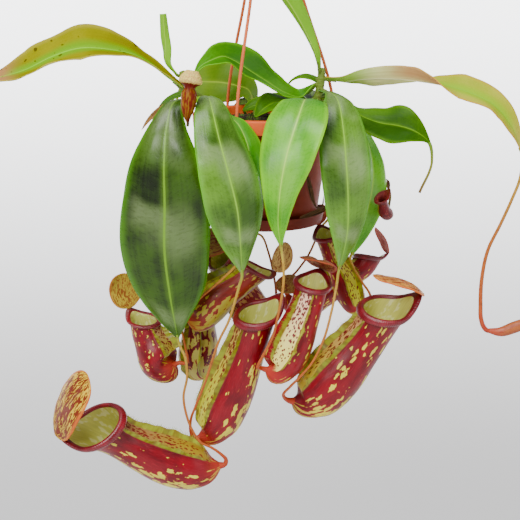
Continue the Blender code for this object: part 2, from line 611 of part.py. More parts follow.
def build_hanger(mat, group):
    parts = []
    for k, angle in enumerate(ROD_ANGLES):
        a = math.radians(angle)
        out = Vector((math.cos(a), math.sin(a), 0))
        foot = out * ROD_RING
        path = [
            foot + Vector((0, 0, -5.0)),
            foot + Vector((0, 0, 2.0)),
            foot * 0.99 + Vector((0, 0, 6.0)),
            foot * 0.5 + Vector((0, 0, HUB_Z * 0.505)),
            out * 4.0 + Vector((0, 0, HUB_Z - 1.0)),
        ]
        rod = as_mesh(tube(f"rod_{k}", path, (ROD_R,), 2, 4, mat, group, straight=True))
        bm = bmesh.new()
        bmesh.ops.create_cone(bm, cap_ends=True, segments=10, radius1=1.7, radius2=2.2, depth=2.0)
        for v in bm.verts:
            v.co += foot + Vector((0, 0, -4.6))
        button = add(f"button_{k}", bm, mat, group)
        parts += [rod, button]
    profile = [
        (0, HUB_Z + 8),
        (3.2, HUB_Z + 7),
        (6.5, HUB_Z + 2),
        (6.5, HUB_Z - 3),
        (0, HUB_Z - 3),
    ]
    hub = as_mesh(turned("hanger", profile, 14, mat, group))
    c = RIM_DROP - HOOK_INNER
    r = HOOK_INNER + HOOK_R
    path = [
        (0, 0, HUB_Z + 4),
        (0, 0, HUB_Z + 12),
        (r * 0.72, 0, c - r * 0.72),
        (r, 0, c),
        (r * 0.7, 0, c + r * 0.7),
        (0, 0, c + r),
        (-r * 0.7, 0, c + r * 0.7),
        (-r, 0, c),
        (-r * 0.9, 0, c - r * 0.5),
    ]
    parts.append(as_mesh(tube("hook", path, (HOOK_R,), 2, 16, mat, group)))
    combine(hub, parts, "UNION")
    hanger = as_mesh(hub)
    for part in parts:
        bpy.data.objects.remove(part, do_unlink=True)
    return hanger


def main():
    clear()
    scene = bpy.context.scene
    group = bpy.data.collections.new(COLLECTION)
    cutters = bpy.data.collections.new("cutters")
    scene.collection.children.link(group)
    scene.collection.children.link(cutters)

    terracotta = material("terracotta_plastic", (0.50, 0.17, 0.07), 0.45)
    brown = material("saucer_plastic", (0.26, 0.09, 0.05), 0.45)
    rodded = material("hanger_plastic", (0.55, 0.21, 0.09), 0.45)
    earth = material("bark_soil", (0.05, 0.035, 0.025), 0.95)
    bark = material("stem", (0.16, 0.17, 0.05), 0.6)
    green = material("leaf", (0.08, 0.16, 0.03), 0.4)
    wire = material("tendril", (0.35, 0.17, 0.05), 0.5)
    red = material("pitcher", (0.25, 0.02, 0.03), 0.35)
    amber = material("lid", (0.5, 0.28, 0.05), 0.45)

    build_pot(terracotta, group, cutters)
    build_saucer(brown, group)
    build_soil(earth, group, cutters)
    build_hanger(rodded, group)

    for name, points in STEMS.items():
        tube(name, points, (STEM_R, STEM_R, STEM_R, STEM_R, STEM_R * 0.97), 2, 8, bark, group)

    for name, row in LEAVES.items():
        route = leaf_route(row)
        _, _, _, halves, twist, curl, fold, wave, waves = row
        along = 10 if len(halves) < 6 else 13
        across = 4
        blade(name, route, halves, twist, curl, fold, wave, waves, across, along, LEAF_THICK, green, group)

    for name, (leaf, pitcher, between) in TENDRILS.items():
        points, end = tendril_points(leaf, pitcher, between)
        steps = 16 if len(points) > 9 else 12
        tube(name, points, (1.0, 0.9, 0.9, 0.9, 0.9, 1.1, end), 1, steps, wire, group)

    for name, (points, face, big, share, peak, lid, winged) in PITCHERS.items():
        route = Route(points, face, from_end=True)
        cup(name, route, big, share, peak, winged, red, group)
        if lid:
            line = lid_route(route, big, share, peak, lid)
            halves = lid_halves(lid[3])
            blade(name.replace("pitcher", "lid"), line, halves, (lid[1],), -0.4, 0.05, 0.0, 1, 4, 7,
                  LID_THICK, amber, group, round_ends=True)

    for name, (points, face, big, body) in BUDS.items():
        bud(name, Route(points, face, from_end=True), big, body, red, group)


main()
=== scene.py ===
# %% [markdown]
# A potted pitcher plant, dressed for a studio picture.
# The solid parts are already made, in metres. Each one is only a plain form: a leaf has a dozen
# rows of faces, and a pitcher has no hairs, veins or colour. Here every part gets a finer mesh of
# the same form in the same place, and a finish made of shader nodes.
# The plan is the same throughout: say where a surface runs with a smooth line, lay a flat grid
# over it, and keep the grid's own UV map, because the veins and spots of a plant follow its growth.

# %% The frame that the plant is built in
import bisect
import math
import random

import bmesh
import bpy
from mathutils import Matrix, Quaternion, Vector, noise


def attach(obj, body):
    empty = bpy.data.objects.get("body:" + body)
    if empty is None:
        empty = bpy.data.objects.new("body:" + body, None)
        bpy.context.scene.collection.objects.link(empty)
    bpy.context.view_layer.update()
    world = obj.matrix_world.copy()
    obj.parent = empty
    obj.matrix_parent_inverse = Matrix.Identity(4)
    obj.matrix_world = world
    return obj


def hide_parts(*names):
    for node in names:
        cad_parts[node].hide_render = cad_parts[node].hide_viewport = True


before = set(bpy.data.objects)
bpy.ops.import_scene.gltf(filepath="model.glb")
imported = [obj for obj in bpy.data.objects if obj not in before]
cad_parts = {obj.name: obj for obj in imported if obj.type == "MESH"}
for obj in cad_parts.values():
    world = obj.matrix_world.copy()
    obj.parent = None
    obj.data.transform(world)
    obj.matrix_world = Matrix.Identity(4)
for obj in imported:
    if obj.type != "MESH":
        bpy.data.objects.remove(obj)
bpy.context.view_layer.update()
print("parts to dress:", len(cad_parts))

# %% [markdown]
# Sizes are in millimetres over the plane of the pot's rim, because a plant is easier to measure
# from its pot than from a hook far above it. One function turns them into metres under the hook.

# %% From millimetres to metres
RIM_DROP = 225.0            # from the top of the hook's curve down to the rim


def to_world(place):
    """Metres under the hook, from millimetres over the rim."""
    return (Vector(place) - Vector((0, 0, RIM_DROP))) * 0.001


print("rim at", round(to_world((0, 0, 0)).z, 3), "m")

# %% [markdown]
# A leaf, a tendril and a pitcher all follow a bent line. A route is such a line: it passes
# through a few points, and carries a direction along itself that says which way the upper side
# faces. The same few points made the solid parts, so the finer meshes land on them.

# %% Smooth lines through points


def smooth(knots, values, t):
    """The value at t on a smooth line through one value a knot."""
    last = len(knots) - 1
    i = max(0, min(last - 1, bisect.bisect_right(knots, t) - 1))

    def slope(k):
        if k == 0:
            return (values[1] - values[0]) / (knots[1] - knots[0])
        if k == last:
            return (values[last] - values[last - 1]) / (knots[last] - knots[last - 1])
        a = knots[k] - knots[k - 1]
        b = knots[k + 1] - knots[k]
        return ((values[k] - values[k - 1]) / a * b + (values[k + 1] - values[k]) / b * a) / (a + b)

    h = knots[i + 1] - knots[i]
    x = min(1.0, max(0.0, (t - knots[i]) / h))
    p = values[i] * (2 * x**3 - 3 * x**2 + 1) + values[i + 1] * (3 * x**2 - 2 * x**3)
    return p + (slope(i) * (x**3 - 2 * x**2 + x) + slope(i + 1) * (x**3 - x**2)) * h


def spread(values, v):
    """The value at v from 0 to 1 on straight lines between evenly spaced values."""
    if len(values) == 1:
        return values[0]
    x = min(max(v, 0.0), 1.0) * (len(values) - 1)
    i = min(int(x), len(values) - 2)
    return values[i] + (values[i + 1] - values[i]) * (x - i)


def ease(low, high, x):
    """0 below low, 1 above high, and a soft step between them."""
    x = min(1.0, max(0.0, (x - low) / (high - low)))
    return x * x * (3 - 2 * x)


print("a quarter up a soft step:", round(ease(0.0, 1.0, 0.25), 3))

# %% A route


class Route:
    """A smooth line through points, with a face direction carried along it."""

    STEPS = 72

    def __init__(self, points, face, from_end=False):
        self.points = [Vector(p) for p in points]
        self.knots = [0.0]
        for a, b in zip(self.points, self.points[1:]):
            self.knots.append(self.knots[-1] + (b - a).length)
        self.length = self.knots[-1]
        order = range(self.STEPS + 1)
        faces = {}
        held = Vector(face)
        for k in reversed(order) if from_end else order:
            t = self.tangent(k / self.STEPS)
            held = (held - t * held.dot(t)).normalized()
            faces[k] = held
        self.faces = [faces[k] for k in order]
        self.known = {}

    def point(self, v):
        return smooth(self.knots, self.points, v * self.length)

    def tangent(self, v):
        a = max(0.0, v - 0.004)
        b = min(1.0, v + 0.004)
        return (self.point(b) - self.point(a)).normalized()

    def frame(self, v):
        """Point, tangent, face direction and side direction at v from 0 to 1."""
        key = round(v, 6)
        if key not in self.known:
            t = self.tangent(v)
            face = spread(self.faces, v)
            face = (face - t * face.dot(t)).normalized()
            self.known[key] = (self.point(v), t, face, t.cross(face))
        return self.known[key]


print("halfway along a bend:", Route([(0, 0, 0), (10, 0, 5), (20, 0, 0)], (0, 0, 1)).point(0.5)[:])

# %% [markdown]
# The picture is taken from in front and a little above, looking down by fourteen degrees. The
# plant hangs over a wide pale floor that fills the whole background. A large soft lamp overhead
# adds real reflections to the pale patches that are painted on the glossy leaves, and two weaker
# lamps open the shadows.

# %% Camera, floor and lamps
EYE = (-0.005, -0.9703, -0.1071)
LOOK_DOWN = 14.0
HALF_VIEW = 0.2184          # half the picture's width at a distance of one


def in_scene(name, data):
    """A new object that holds the data, put into the scene."""
    ob = bpy.data.objects.new(name, data)
    bpy.context.scene.collection.objects.link(ob)
    return ob


def camera():
    data = bpy.data.cameras.new("camera")
    data.sensor_width = 36.0
    data.lens = data.sensor_width / 2 / HALF_VIEW
    data.clip_end = 400.0
    ob = in_scene("camera", data)
    ob.location = EYE
    ob.rotation_euler = (math.radians(90 - LOOK_DOWN), 0, 0)
    bpy.context.scene.camera = ob


def lamp(name, kind, place, aim, energy, **settings):
    data = bpy.data.lights.new(name, kind)
    data.energy = energy
    for key, value in settings.items():
        setattr(data, key, value)
    ob = in_scene(name, data)
    ob.location = place
    ob.rotation_euler = (Vector(aim) - Vector(place)).to_track_quat("-Z", "Y").to_euler()


camera()
MIDDLE = (0.0, 0.0, -0.28)
lamp("sky", "SUN", (-1.0, -1.3, 3.4), MIDDLE, 3.0, angle=math.radians(35))
lamp("window", "AREA", (-0.9, -2.3, 1.1), MIDDLE, 50.0, shape="RECTANGLE", size=1.5, size_y=0.8)
lamp("side", "AREA", (1.9, -1.2, 0.3), MIDDLE, 9.0, shape="RECTANGLE", size=0.8, size_y=1.4)
print("lens", round(bpy.context.scene.camera.data.lens, 1), "mm")
print("view transform", bpy.context.scene.view_settings.view_transform)

# %% [markdown]
# A finish is a tree of shader nodes. Its maths is easier to read as plain sums, so one small
# class wraps an output and lets it be added, multiplied and compared, and each operation adds
# its Math node. A second class holds a material and makes every other kind of node.

# %% Writing shader maths as sums


class Socket:
    """An output of a shader node. Sums with it add Math nodes."""

    def __init__(self, finish, output):
        self.finish = finish
        self.output = output

    def math(self, operation, *others, flip=False):
        values = [self, *others]
        if flip:
            values.reverse()
        return self.finish.node("Math", {"operation": operation}, dict(enumerate(values)))

    def __add__(self, other):
        return self.math("ADD", other)

    def __mul__(self, other):
        return self.math("MULTIPLY", other)

    def __sub__(self, other):
        return self.math("SUBTRACT", other)

    def __rsub__(self, other):
        return self.math("SUBTRACT", other, flip=True)

    def __truediv__(self, other):
        return self.math("DIVIDE", other)

    def __pow__(self, other):
        return self.math("POWER", other)

    __radd__ = __add__
    __rmul__ = __mul__

    def __abs__(self):
        return self.math("ABSOLUTE")

    def step(self, low, high):
        """A soft step from 0 at low to 1 at high, or falling where low is the larger."""
        inputs = {"Value": self, "From Min": low, "From Max": high}
        return self.finish.node("MapRange", {"interpolation_type": "SMOOTHSTEP"}, inputs)

    def other(self, name):
        """Another output of the same node."""
        return Socket(self.finish, self.output.node.outputs[name])


print("helpers of a socket:", ", ".join(n for n in vars(Socket) if n[0] != "_"))

# %% A material and its nodes


class Finish:
    """A material under construction."""

    def __init__(self, name, **constants):
        self.material = bpy.data.materials.new(name)
        self.material.use_nodes = True
        self.tree = self.material.node_tree
        self.shader = self.tree.nodes["Principled BSDF"]
        for key, value in constants.items():
            self.set(key.replace("_", " "), value)

    def node(self, kind, settings=None, inputs=None, output=0):
        """Any node: its type, its settings, what its inputs get, and which output is wanted."""
        made = self.tree.nodes.new("ShaderNode" + kind)
        for key, value in (settings or {}).items():
            if key == "stops":
                self.set_stops(made.color_ramp, value)
            else:
                setattr(made, key, value)
        for key, value in (inputs or {}).items():
            self.feed(made.inputs[key], value)
        return Socket(self, made.outputs[output])

    def set_stops(self, ramp, stops):
        while len(ramp.elements) < len(stops):
            ramp.elements.new(0.5)
        for element, (place, shade) in zip(ramp.elements, stops):
            element.position = place
            element.color = shade

    def feed(self, target, value):
        if isinstance(value, Socket):
            self.tree.links.new(value.output, target)
        else:
            target.default_value = value

    def set(self, name, value):
        self.feed(self.shader.inputs[name], value)

    def mix(self, factor, first, second):
        return self.node("Mix", {"data_type": "RGBA"}, {0: factor, 6: first, 7: second}, 2)

    def uv(self):
        """How far across and how far along the surface, from 0 to 1."""
        place = self.node("TexCoord", output="UV")
        across = self.node("SeparateXYZ", inputs={0: place})
        return across, across.other("Y")

    def blade_uv(self):
        """Across, along, and how far out from the midrib, with 1 at either edge."""
        u, v = self.uv()
        return u, v, abs(u * 2.0 - 1.0)

    def around_uv(self):
        """Across, along, and the cosine and sine of the way around, which meet without a seam."""
        u, v = self.uv()
        turn = u * (2 * math.pi)
        return u, v, turn.math("COSINE"), turn.math("SINE")

    def space(self):
        """The place in the object, in metres."""
        return self.node("TexCoord", output="Object")

    def vector(self, x, y, z):
        return self.node("CombineXYZ", inputs={0: x, 1: y, 2: z})

    def noise(self, place, scale, detail=2.0, rough=0.5, warp=0.0):
        inputs = {"Vector": place, "Scale": scale, "Detail": detail, "Roughness": rough}
        inputs["Distortion"] = warp
        return self.node("TexNoise", inputs=inputs)

    def cells(self, place, scale, scatter=0.9):
        """The distance to the nearest of many scattered points."""
        inputs = {"Vector": place, "Scale": scale, "Randomness": scatter}
        return self.node("TexVoronoi", inputs=inputs)

    def bump(self, height, distance, strength):
        inputs = {"Height": height, "Distance": distance, "Strength": strength}
        self.set("Normal", self.node("Bump", inputs=inputs))

    def done(self, shade, rough=None):
        """The finished material, with its colour and, where it varies, its roughness."""
        self.set("Base Color", shade)
        if rough is not None:
            self.set("Roughness", rough)
        return self.material


print("helpers of a finish:", ", ".join(n for n in vars(Finish) if n[0] != "_"))

# %% Colours as a screen shows them


def colour(red, green, blue):
    """A colour as a screen shows it, from 0 to 255, turned into light."""
    def light(c):
        c /= 255.0
        return c / 12.92 if c <= 0.04045 else ((c + 0.055) / 1.055) ** 2.4
    return (light(red), light(green), light(blue), 1.0)


def darker(shade, share):
    """The colour of a screen shade, with each part of it taken down to a share."""
    return colour(*[c * share for c in shade])


print("mid grey gives", round(colour(128, 128, 128)[0], 3))

# %% [markdown]
# The floor is one very large plane with a faint unevenness in its tone. It grows brighter in the
# distance, as a studio floor does when lamps stand over its far end. More lamps would do it, but
# they would also shine on the plant, so here the far part of the floor glows a little by itself.

# %% The floor
FLOOR_Z = -0.95
FLOOR_HALF = 150.0


def floor_finish():
    f = Finish("floor_paper", Roughness=0.9, Specular_IOR_Level=0.2, Emission_Strength=4.2)
    away = f.node("SeparateXYZ", inputs={0: f.space()}).other("Y").math("MAXIMUM", 0.0)
    far = (away / (away + 2.5)).step(0.2, 1.0)
    cloudy = f.noise(f.space(), 0.8, 3.0)
    f.set("Emission Color", f.mix(far, (0.0, 0.0, 0.0, 1.0), (0.97, 0.98, 1.0, 1.0)))
    return f.done(f.mix(cloudy, colour(222, 221, 221), colour(233, 232, 232)))


def floor():
    bm = bmesh.new()
    bmesh.ops.create_grid(bm, x_segments=2, y_segments=2, size=FLOOR_HALF)
    bmesh.ops.translate(bm, verts=bm.verts[:], vec=(0, 0, FLOOR_Z))
    mesh = bpy.data.meshes.new("floor")
    bm.to_mesh(mesh)
    bm.free()
    mesh.materials.append(floor_finish())
    in_scene("floor", mesh)


def surroundings():
    world = bpy.data.worlds.new("pale_room")
    bpy.context.scene.world = world
    world.use_nodes = True
    back = world.node_tree.nodes["Background"]
    back.inputs["Color"].default_value = colour(236, 238, 242)
    back.inputs["Strength"].default_value = 0.34


floor()
surroundings()
print("floor", FLOOR_Z, "m")

# %% [markdown]
# Every surface of the plant starts as the same thing: a flat grid whose own UV map says how far
# across and how far along each point is. The grid is then laid where it belongs, point by point.
# A tube or a cup is such a grid with its two sides sewn together, and its ends drawn to a point.

# %% Laying a grid over a form
SHARP = math.radians(50)    # an edge that turns by more than this is shown as an edge


def new_mesh():
    """An empty mesh with the UV map that the finishes read."""
    bm = bmesh.new()
    bm.loops.layers.uv.new("UVMap")
    return bm


def sheet(columns, rows, place):
    """A grid whose points are put by place(u, v), with u across and v along, from 0 to 1."""
    bm = new_mesh()
    bmesh.ops.create_grid(bm, x_segments=columns, y_segments=rows, size=1.0, calc_uvs=True)
    for vert in bm.verts:
        vert.co = to_world(place((vert.co.x + 1) / 2, (vert.co.y + 1) / 2))
    return bm


def sew(bm):
    """Joins points that lie on each other, drops faces without an area, and turns all outwards."""
    bmesh.ops.remove_doubles(bm, verts=bm.verts[:], dist=1e-6)
    bmesh.ops.dissolve_degenerate(bm, edges=bm.edges[:], dist=1e-7)
    bmesh.ops.recalc_face_normals(bm, faces=bm.faces[:])


def join(bm, other):
    """Adds the other mesh to bm."""
    mesh = bpy.data.meshes.new("joined")
    other.to_mesh(mesh)
    other.free()
    bm.from_mesh(mesh)
    bpy.data.meshes.remove(mesh)


def piece(name, bm, finishes, slot, *nodes, thick=0.0):
    """The mesh as an object that stands for the named solids and takes the given finishes; the slot is not
    used.
    """
    mesh = bpy.data.meshes.new(name)
    bm.to_mesh(mesh)
    bm.free()
    mesh.shade_smooth()
    mesh.set_sharp_from_angle(angle=SHARP)
    for finish in finishes:
        mesh.materials.append(finish)
    ob = in_scene(name, mesh)
    if thick:
        shell = ob.modifiers.new("thickness", "SOLIDIFY")
        shell.thickness = thick * 0.001
        shell.offset = 0.0
        shell.material_offset = 1
    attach(ob, "root")
    if nodes:
        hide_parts(*nodes)


print("an edge is shown from", round(math.degrees(SHARP)), "degrees")

# %% [markdown]
# Three woody stems stand in the soil, and every leaf springs from one of them.

# %% Where the stems run
STEM_R = 3.2
STEM_GAP = 0.7              # from a stem's skin to the start of a leaf
STEMS = {
    "stem_left": [(-34, -14, -30), (-34, -14, -17), (-34, -14, -4), (-39, -17, 5), (-52, -26, 14),
        (-62, -32, 24), (-66, -34, 36)],
    "stem_right": [(36, 1, -30), (36, 1, -17), (36, 1, -4), (39, 0, 6), (43, -2, 18), (45, -3, 36)],
    "stem_back": [(-8, 24, -30), (-8, 24, -18), (-8, 24, -6), (-8, 26, 0), (-9, 30, 7)],
}
STEM_ROUTES = {name: Route(points, (0, 1, 0)) for name, points in STEMS.items()}


def stem_start(stem, height, toward):
    """Where a leaf starts on its stem."""
    centre, t, _, _ = STEM_ROUTES[stem].frame(height)
    out = Vector(toward) - centre
    out = (out - t * out.dot(t)).normalized()
    return centre + out * (STEM_R + STEM_GAP)


print("stems:", ", ".join(STEMS))

# %% [markdown]
# Each leaf is one row of a table: its stem, how far up it starts, the points that it runs
# through, its half width at each point, and how it twists, curls and waves.

# %% Where the leaves run
LEAVES = {
    "leaf_01": ("stem_left", 0.74, [(-72, -50, 13), (-76, -64, -2), (-78, -73, -28), (-78, -76, -62),
        (-79, -74, -98), (-76, -68, -135), (-71, -60, -173)], [3, 7, 15, 28, 35, 36, 28, 1.2],
        (0, -16, -22, -20), -0.5, 0.10, 0.04, 2),
    "leaf_02": ("stem_left", 0.55, [(-45, -39, 17), (-42, -66, 13), (-35, -85, -12), (-28, -92, -37),
        (-22, -93, -63), (-20, -89, -88), (-19, -83, -113)], [1.0, 4.5, 12.5, 20, 24, 24, 16, 1.2], (0, 0),
        -0.5, 0.10, 0.04, 2),
    "leaf_03": ("stem_right", 0.62, [(33, -24, 12), (29, -52, 15), (23, -72, 2), (15, -84, -22),
        (10, -88, -50), (9, -86, -77), (11, -82, -92)], [3, 7, 18, 24, 22, 14, 7, 1.2], (0, 0), -0.35,
        0.12, 0.05, 2),
    "leaf_04": ("stem_right", 0.75, [(51, -22, 18), (56, -42, 13), (59, -58, -6), (61, -65, -29),
        (63, -67, -60), (63, -63, -88), (58, -56, -116)], [3, 5, 12, 19, 21, 19, 13, 1.2], (0, 0), -0.5,
        0.12, 0.04, 2),
    "leaf_05": ("stem_right", 0.62, [(57, 18, 12), (74, 12, -2), (92, 6, -9), (109, -2, -11),
        (122, -8, -15), (132, -10, -23), (135, -10, -38), (126, -8, -65)], [2, 6, 12, 17, 19, 10, 1.6,
        0.8, 0.8], (0, 50, 75, 40), -0.2, 0.12, 0.06, 2),
    "leaf_06": ("stem_right", 0.43, [(52, 20, 5), (65, 27, 3), (82, 25, -20), (90, 19, -50),
        (86, 9, -80), (78, 4, -104), (72, 2, -120)], [3, 6, 10, 16, 17, 15, 9, 1.2], (0, 20, 55, 60),
        -0.3, 0.12, 0.04, 2),
    "leaf_07": ("stem_right", 0.88, [(61, -9, 26), (75, -12, 28), (94, -16, 29), (114, -20, 28),
        (137, -24, 25), (160, -28, 19), (180, -30, 9), (195, -30, -9), (203, -28, -27)], [3, 6, 9, 12,
        14, 16, 16, 13, 8, 1.2], (-20, -50, -30, 30, 40, 20), 0.3, 0.12, 0.06, 3),
    "leaf_08": ("stem_right", 0.97, [(40, -13, 46), (33, -16, 62), (23, -22, 80), (12, -27, 97),
        (3, -32, 113), (-4, -35, 130), (-9, -36, 142)], [1.4, 4, 7, 10, 13, 12, 8, 1.2], (0, 0), 1.8, 0.0,
        0.0, 1),
    "leaf_09": ("stem_left", 0.86, [(-78, -38, 33), (-88, -42, 42), (-103, -46, 50), (-121, -50, 54),
        (-142, -52, 55), (-163, -54, 49), (-184, -54, 39), (-204, -52, 33), (-222, -48, 28)], [4, 8, 11,
        14, 18, 22, 20, 15, 7, 1.2], (-20, -20, -40, -30, -50), 0.3, 0.15, 0.08, 3),
    "leaf_10": ("stem_left", 0.97, [(-77.5, -33.5, 42), (-78, -33, 54), (-79, -32, 66), (-80, -32, 80)],
        [1.2, 4, 4.5, 4, 3], (0, 60, 90, 90), 1.2, 0.0, 0.0, 1),
    "leaf_11": ("stem_right", 0.79, [(28, -4, 13), (15, -9, 17), (1, -14, 26), (-13, -18, 35),
        (-25, -22, 43), (-34, -27, 47), (-42, -33, 45), (-50, -37, 41), (-55, -41, 35), (-57, -48, 22),
        (-60, -62, 1), (-60, -67, -2)], [3, 9, 12, 14, 15, 14, 12, 9, 4, 1.2, 0.8, 0.8, 0.8],
        (0, -40, -50, -45, -20, 0), 0.3, 0.25, 0.10, 3),
    "leaf_12": ("stem_back", 0.93, [(-14, 42, 13), (-25, 57, 16), (-38, 64, 18), (-51, 70, 18),
        (-62, 73, 18), (-70, 75, 15)], [2.5, 8, 16, 20, 19, 12, 1.2], (0, -45, -50, -40), -0.3, 0.10,
        0.05, 2),
    "leaf_13": ("stem_left", 0.38, [(-37, -37, 6), (-31, -54, 4), (-22, -65, -1), (-15, -69, -15),
        (-13, -70, -44), (-14, -67, -76), (-18, -60, -101)], [1.1, 3, 4, 8, 12, 12, 9, 1.2],
        (0, 10, 20, 15), -0.2, 0.10, 0.04, 2),
    "leaf_14": ("stem_right", 0.50, [(24, -8, 8), (11, -18, 11), (0, -30, 8), (-9, -40, 1)], [2.5, 8,
        11, 9, 1.0], (0, -20), 0.2, 0.1, 0.10, 2),
    "leaf_15": ("stem_right", 0.83, [(39, 7, 27), (31, 11, 29), (22, 14, 26), (16, 16, 19)], [2.5, 5,
        6, 5, 1.0], (0, 0), -0.6, 0.1, 0.05, 1),
    "leaf_16": ("stem_left", 0.62, [(-66, -10, 16), (-82, 2, 8), (-96, 10, -16), (-105, 14, -50),
        (-109, 16, -88), (-101, 12, -126), (-86, 5, -151)], [2, 7, 14, 18, 18, 16, 8, 1.2],
        (0, -40, -60, -60), -0.3, 0.10, 0.05, 2),
    "leaf_17": ("stem_back", 0.80, [(-9, 46, 6), (-13, 66, 1), (-19, 84, -20), (-25, 90, -54),
        (-21, 87, -88), (-14, 78, -111)], [2.5, 9, 17, 22, 20, 12, 1.2], (0, 0), -0.5, 0.10, 0.05, 2),
    "leaf_18": ("stem_right", 0.56, [(38, 22, 12), (41, 44, 13), (50, 66, 4), (62, 81, -26),
        (66, 81, -64), (57, 72, -100)], [3, 7, 13, 18, 19, 15, 1.2], (0, 0), -0.5, 0.10, 0.05, 2),
    "leaf_19": ("stem_right", 0.36, [(43, 20, 3), (52, 42, 3), (66, 56, -9), (84, 57, -30),
        (97, 45, -50), (102, 30, -63), (105, 19, -72), (103.2, 11.6, -81.2)],
        [2.5, 4, 7, 9, 5, 1.4, 0.8, 0.8, 0.8], (0, 10, 20), -0.3, 0.1, 0.05, 2),
    "leaf_20": ("stem_right", 0.47, [(28, 8, 9), (14, 10, 10), (0, 10, 7), (-13, 9, 3), (-19, 8, 0)],
        [2.5, 6, 8, 8, 6, 1.0], (0, -20), 0.1, 0.1, 0.08, 2),
}


def leaf_route(row):
    stem, height, points = row[:3]
    return Route([stem_start(stem, height, points[0])] + points, (0, 0, 1))


LEAF_ROUTES = {name: leaf_route(row) for name, row in LEAVES.items()}
print("leaves:", len(LEAVES), "longest", round(max(r.length for r in LEAF_ROUTES.values())), "mm")

# %% [markdown]
# A real leaf of this plant is leathery and glossy. Its upper side is grooved along the midrib,
# which shows as a pale line, and faint veins run beside it along the whole blade. The blade's
# surface is never quite flat, and that is what breaks the lamp's reflection into soft patches.
# A displacement map could do that, but a few low waves in the mesh itself give the same and
# belong to the mesh, not to a material.

# %% One leaf blade
BLADE_THICK = 0.8
RIPPLE = 0.45               # height of the low waves
SWELL = 78.0                # length of the long waves that run across a blade
GROOVE_HALF = 1.3           # half width of the groove along the midrib
BROAD = 12.0                # a blade of this half width and more shows its waves in full
ROW = 2.4                   # length of one row of faces
COLUMNS = 22


def blade_point(route, w, twist, curl, fold, wave, waves, x, v, groove=0.5, seed=0.0):
    """A place on a blade of half width w: x from -1 to 1 across it, v from 0 to 1 along it."""
    centre, t, face, side = route.frame(v)
    turn = Quaternion(t, math.radians(spread(twist, v)))
    face = turn @ face
    side = turn @ side
    a = curl if abs(curl) > 1e-3 else 1e-3
    across = w * math.sin(a * x) / a
    up = w * (1 - math.cos(a * x)) / a
    up += w * fold * math.sqrt(x * x + 0.004)
    # The two edges wave out of step with each other.
    up += w * wave * x * x * math.sin(2 * math.pi * waves * v + (0.0 if x > 0 else 1.7))
    broad = min(1.0, w / BROAD)
    up -= groove * broad * math.exp(-((x * w / GROOVE_HALF) ** 2))
    # Lumps, long swells and an uneven edge, all of which leave the midrib where it is.
    lumps = noise.noise(Vector((x * w * 0.045, v * route.length * 0.03, seed)))
    up += RIPPLE * 3.0 * broad * lumps * min(1.0, abs(x) * 3)
    swell = math.sin(2 * math.pi * v * route.length / SWELL + 1.1 * x + seed)
    up += RIPPLE * 2.6 * broad * swell * min(1.0, abs(x) * 2.5)
    edge = noise.noise(Vector((v * route.length * 0.09, x * 0.5, seed + 5)))
    up += RIPPLE * 2.0 * broad * edge * max(0.0, abs(x) - 0.6) / 0.4
    return centre + side * across + face * up


def number(name):
    """The number at the end of a name, which makes that piece's waves its own."""
    return float(name[-2:])


def leaf(name, finishes):
    route = LEAF_ROUTES[name]
    _, _, _, halves, twist, curl, fold, wave, waves = LEAVES[name]
    seed = number(name) * 3
    rows = max(30, int(route.length / ROW))

    def place(u, v):
        # Rows crowd at the tip, where the blade narrows fast.
        v = v + 0.10 * math.sin(math.pi * v) * v
        w = max(0.7, smooth(route.knots, halves, v * route.length))
        return blade_point(route, w, twist, curl, fold, wave, waves, 2 * u - 1, v, seed=seed)

    piece(name, sheet(COLUMNS, rows, place), finishes, "leaf", name, thick=BLADE_THICK)


def small_blade(bm, points, face, wide, curl=0.5, seed=0.0, columns=6, rows=12, round_tip=False):
    """Adds a little pointed or round leaf along the points to bm."""
    route = Route(points, face)

    def place(u, v):
        if round_tip:
            half = wide * math.sin(math.pi * v)
        else:
            half = wide * math.sin(math.pi * (0.15 + 0.84 * v)) ** 0.8
        return blade_point(route, max(0.1, half), (0,), curl, 0.1, 0.0, 1, 2 * u - 1, v, 0.1, seed)

    join(bm, sheet(columns, rows, place))


print("rows of the longest leaf:", int(max(r.length for r in LEAF_ROUTES.values()) / ROW))

# %% [markdown]
# The finish of a leaf is drawn over its UV map, so that everything follows the blade: a thin pale
# midrib, faint long veins, a bright margin, and broad grey bands that lie across the blade, each
# made of short fine strokes. These bands are a painted reflection: the pale bloom that a waxy leaf
# shows where it mirrors a bright sky is painted into its colour, with whiter painted highlights in
# their brightest parts. The old leaves are dark, the young ones bright, and the two long side leaves
# are yellow with reddish ends. One function makes them all from a few colours, and a second one makes
# the duller undersides, which are pale on the long side leaves, green at their root, and tinged
# with brown farther out.

# %% The finish of a leaf
# Colours of the painted reflection on the leaves, and of its whitest painted highlights.
PAINTED_HAZE = (132, 150, 104)
PAINTED_GLEAM = (206, 216, 186)


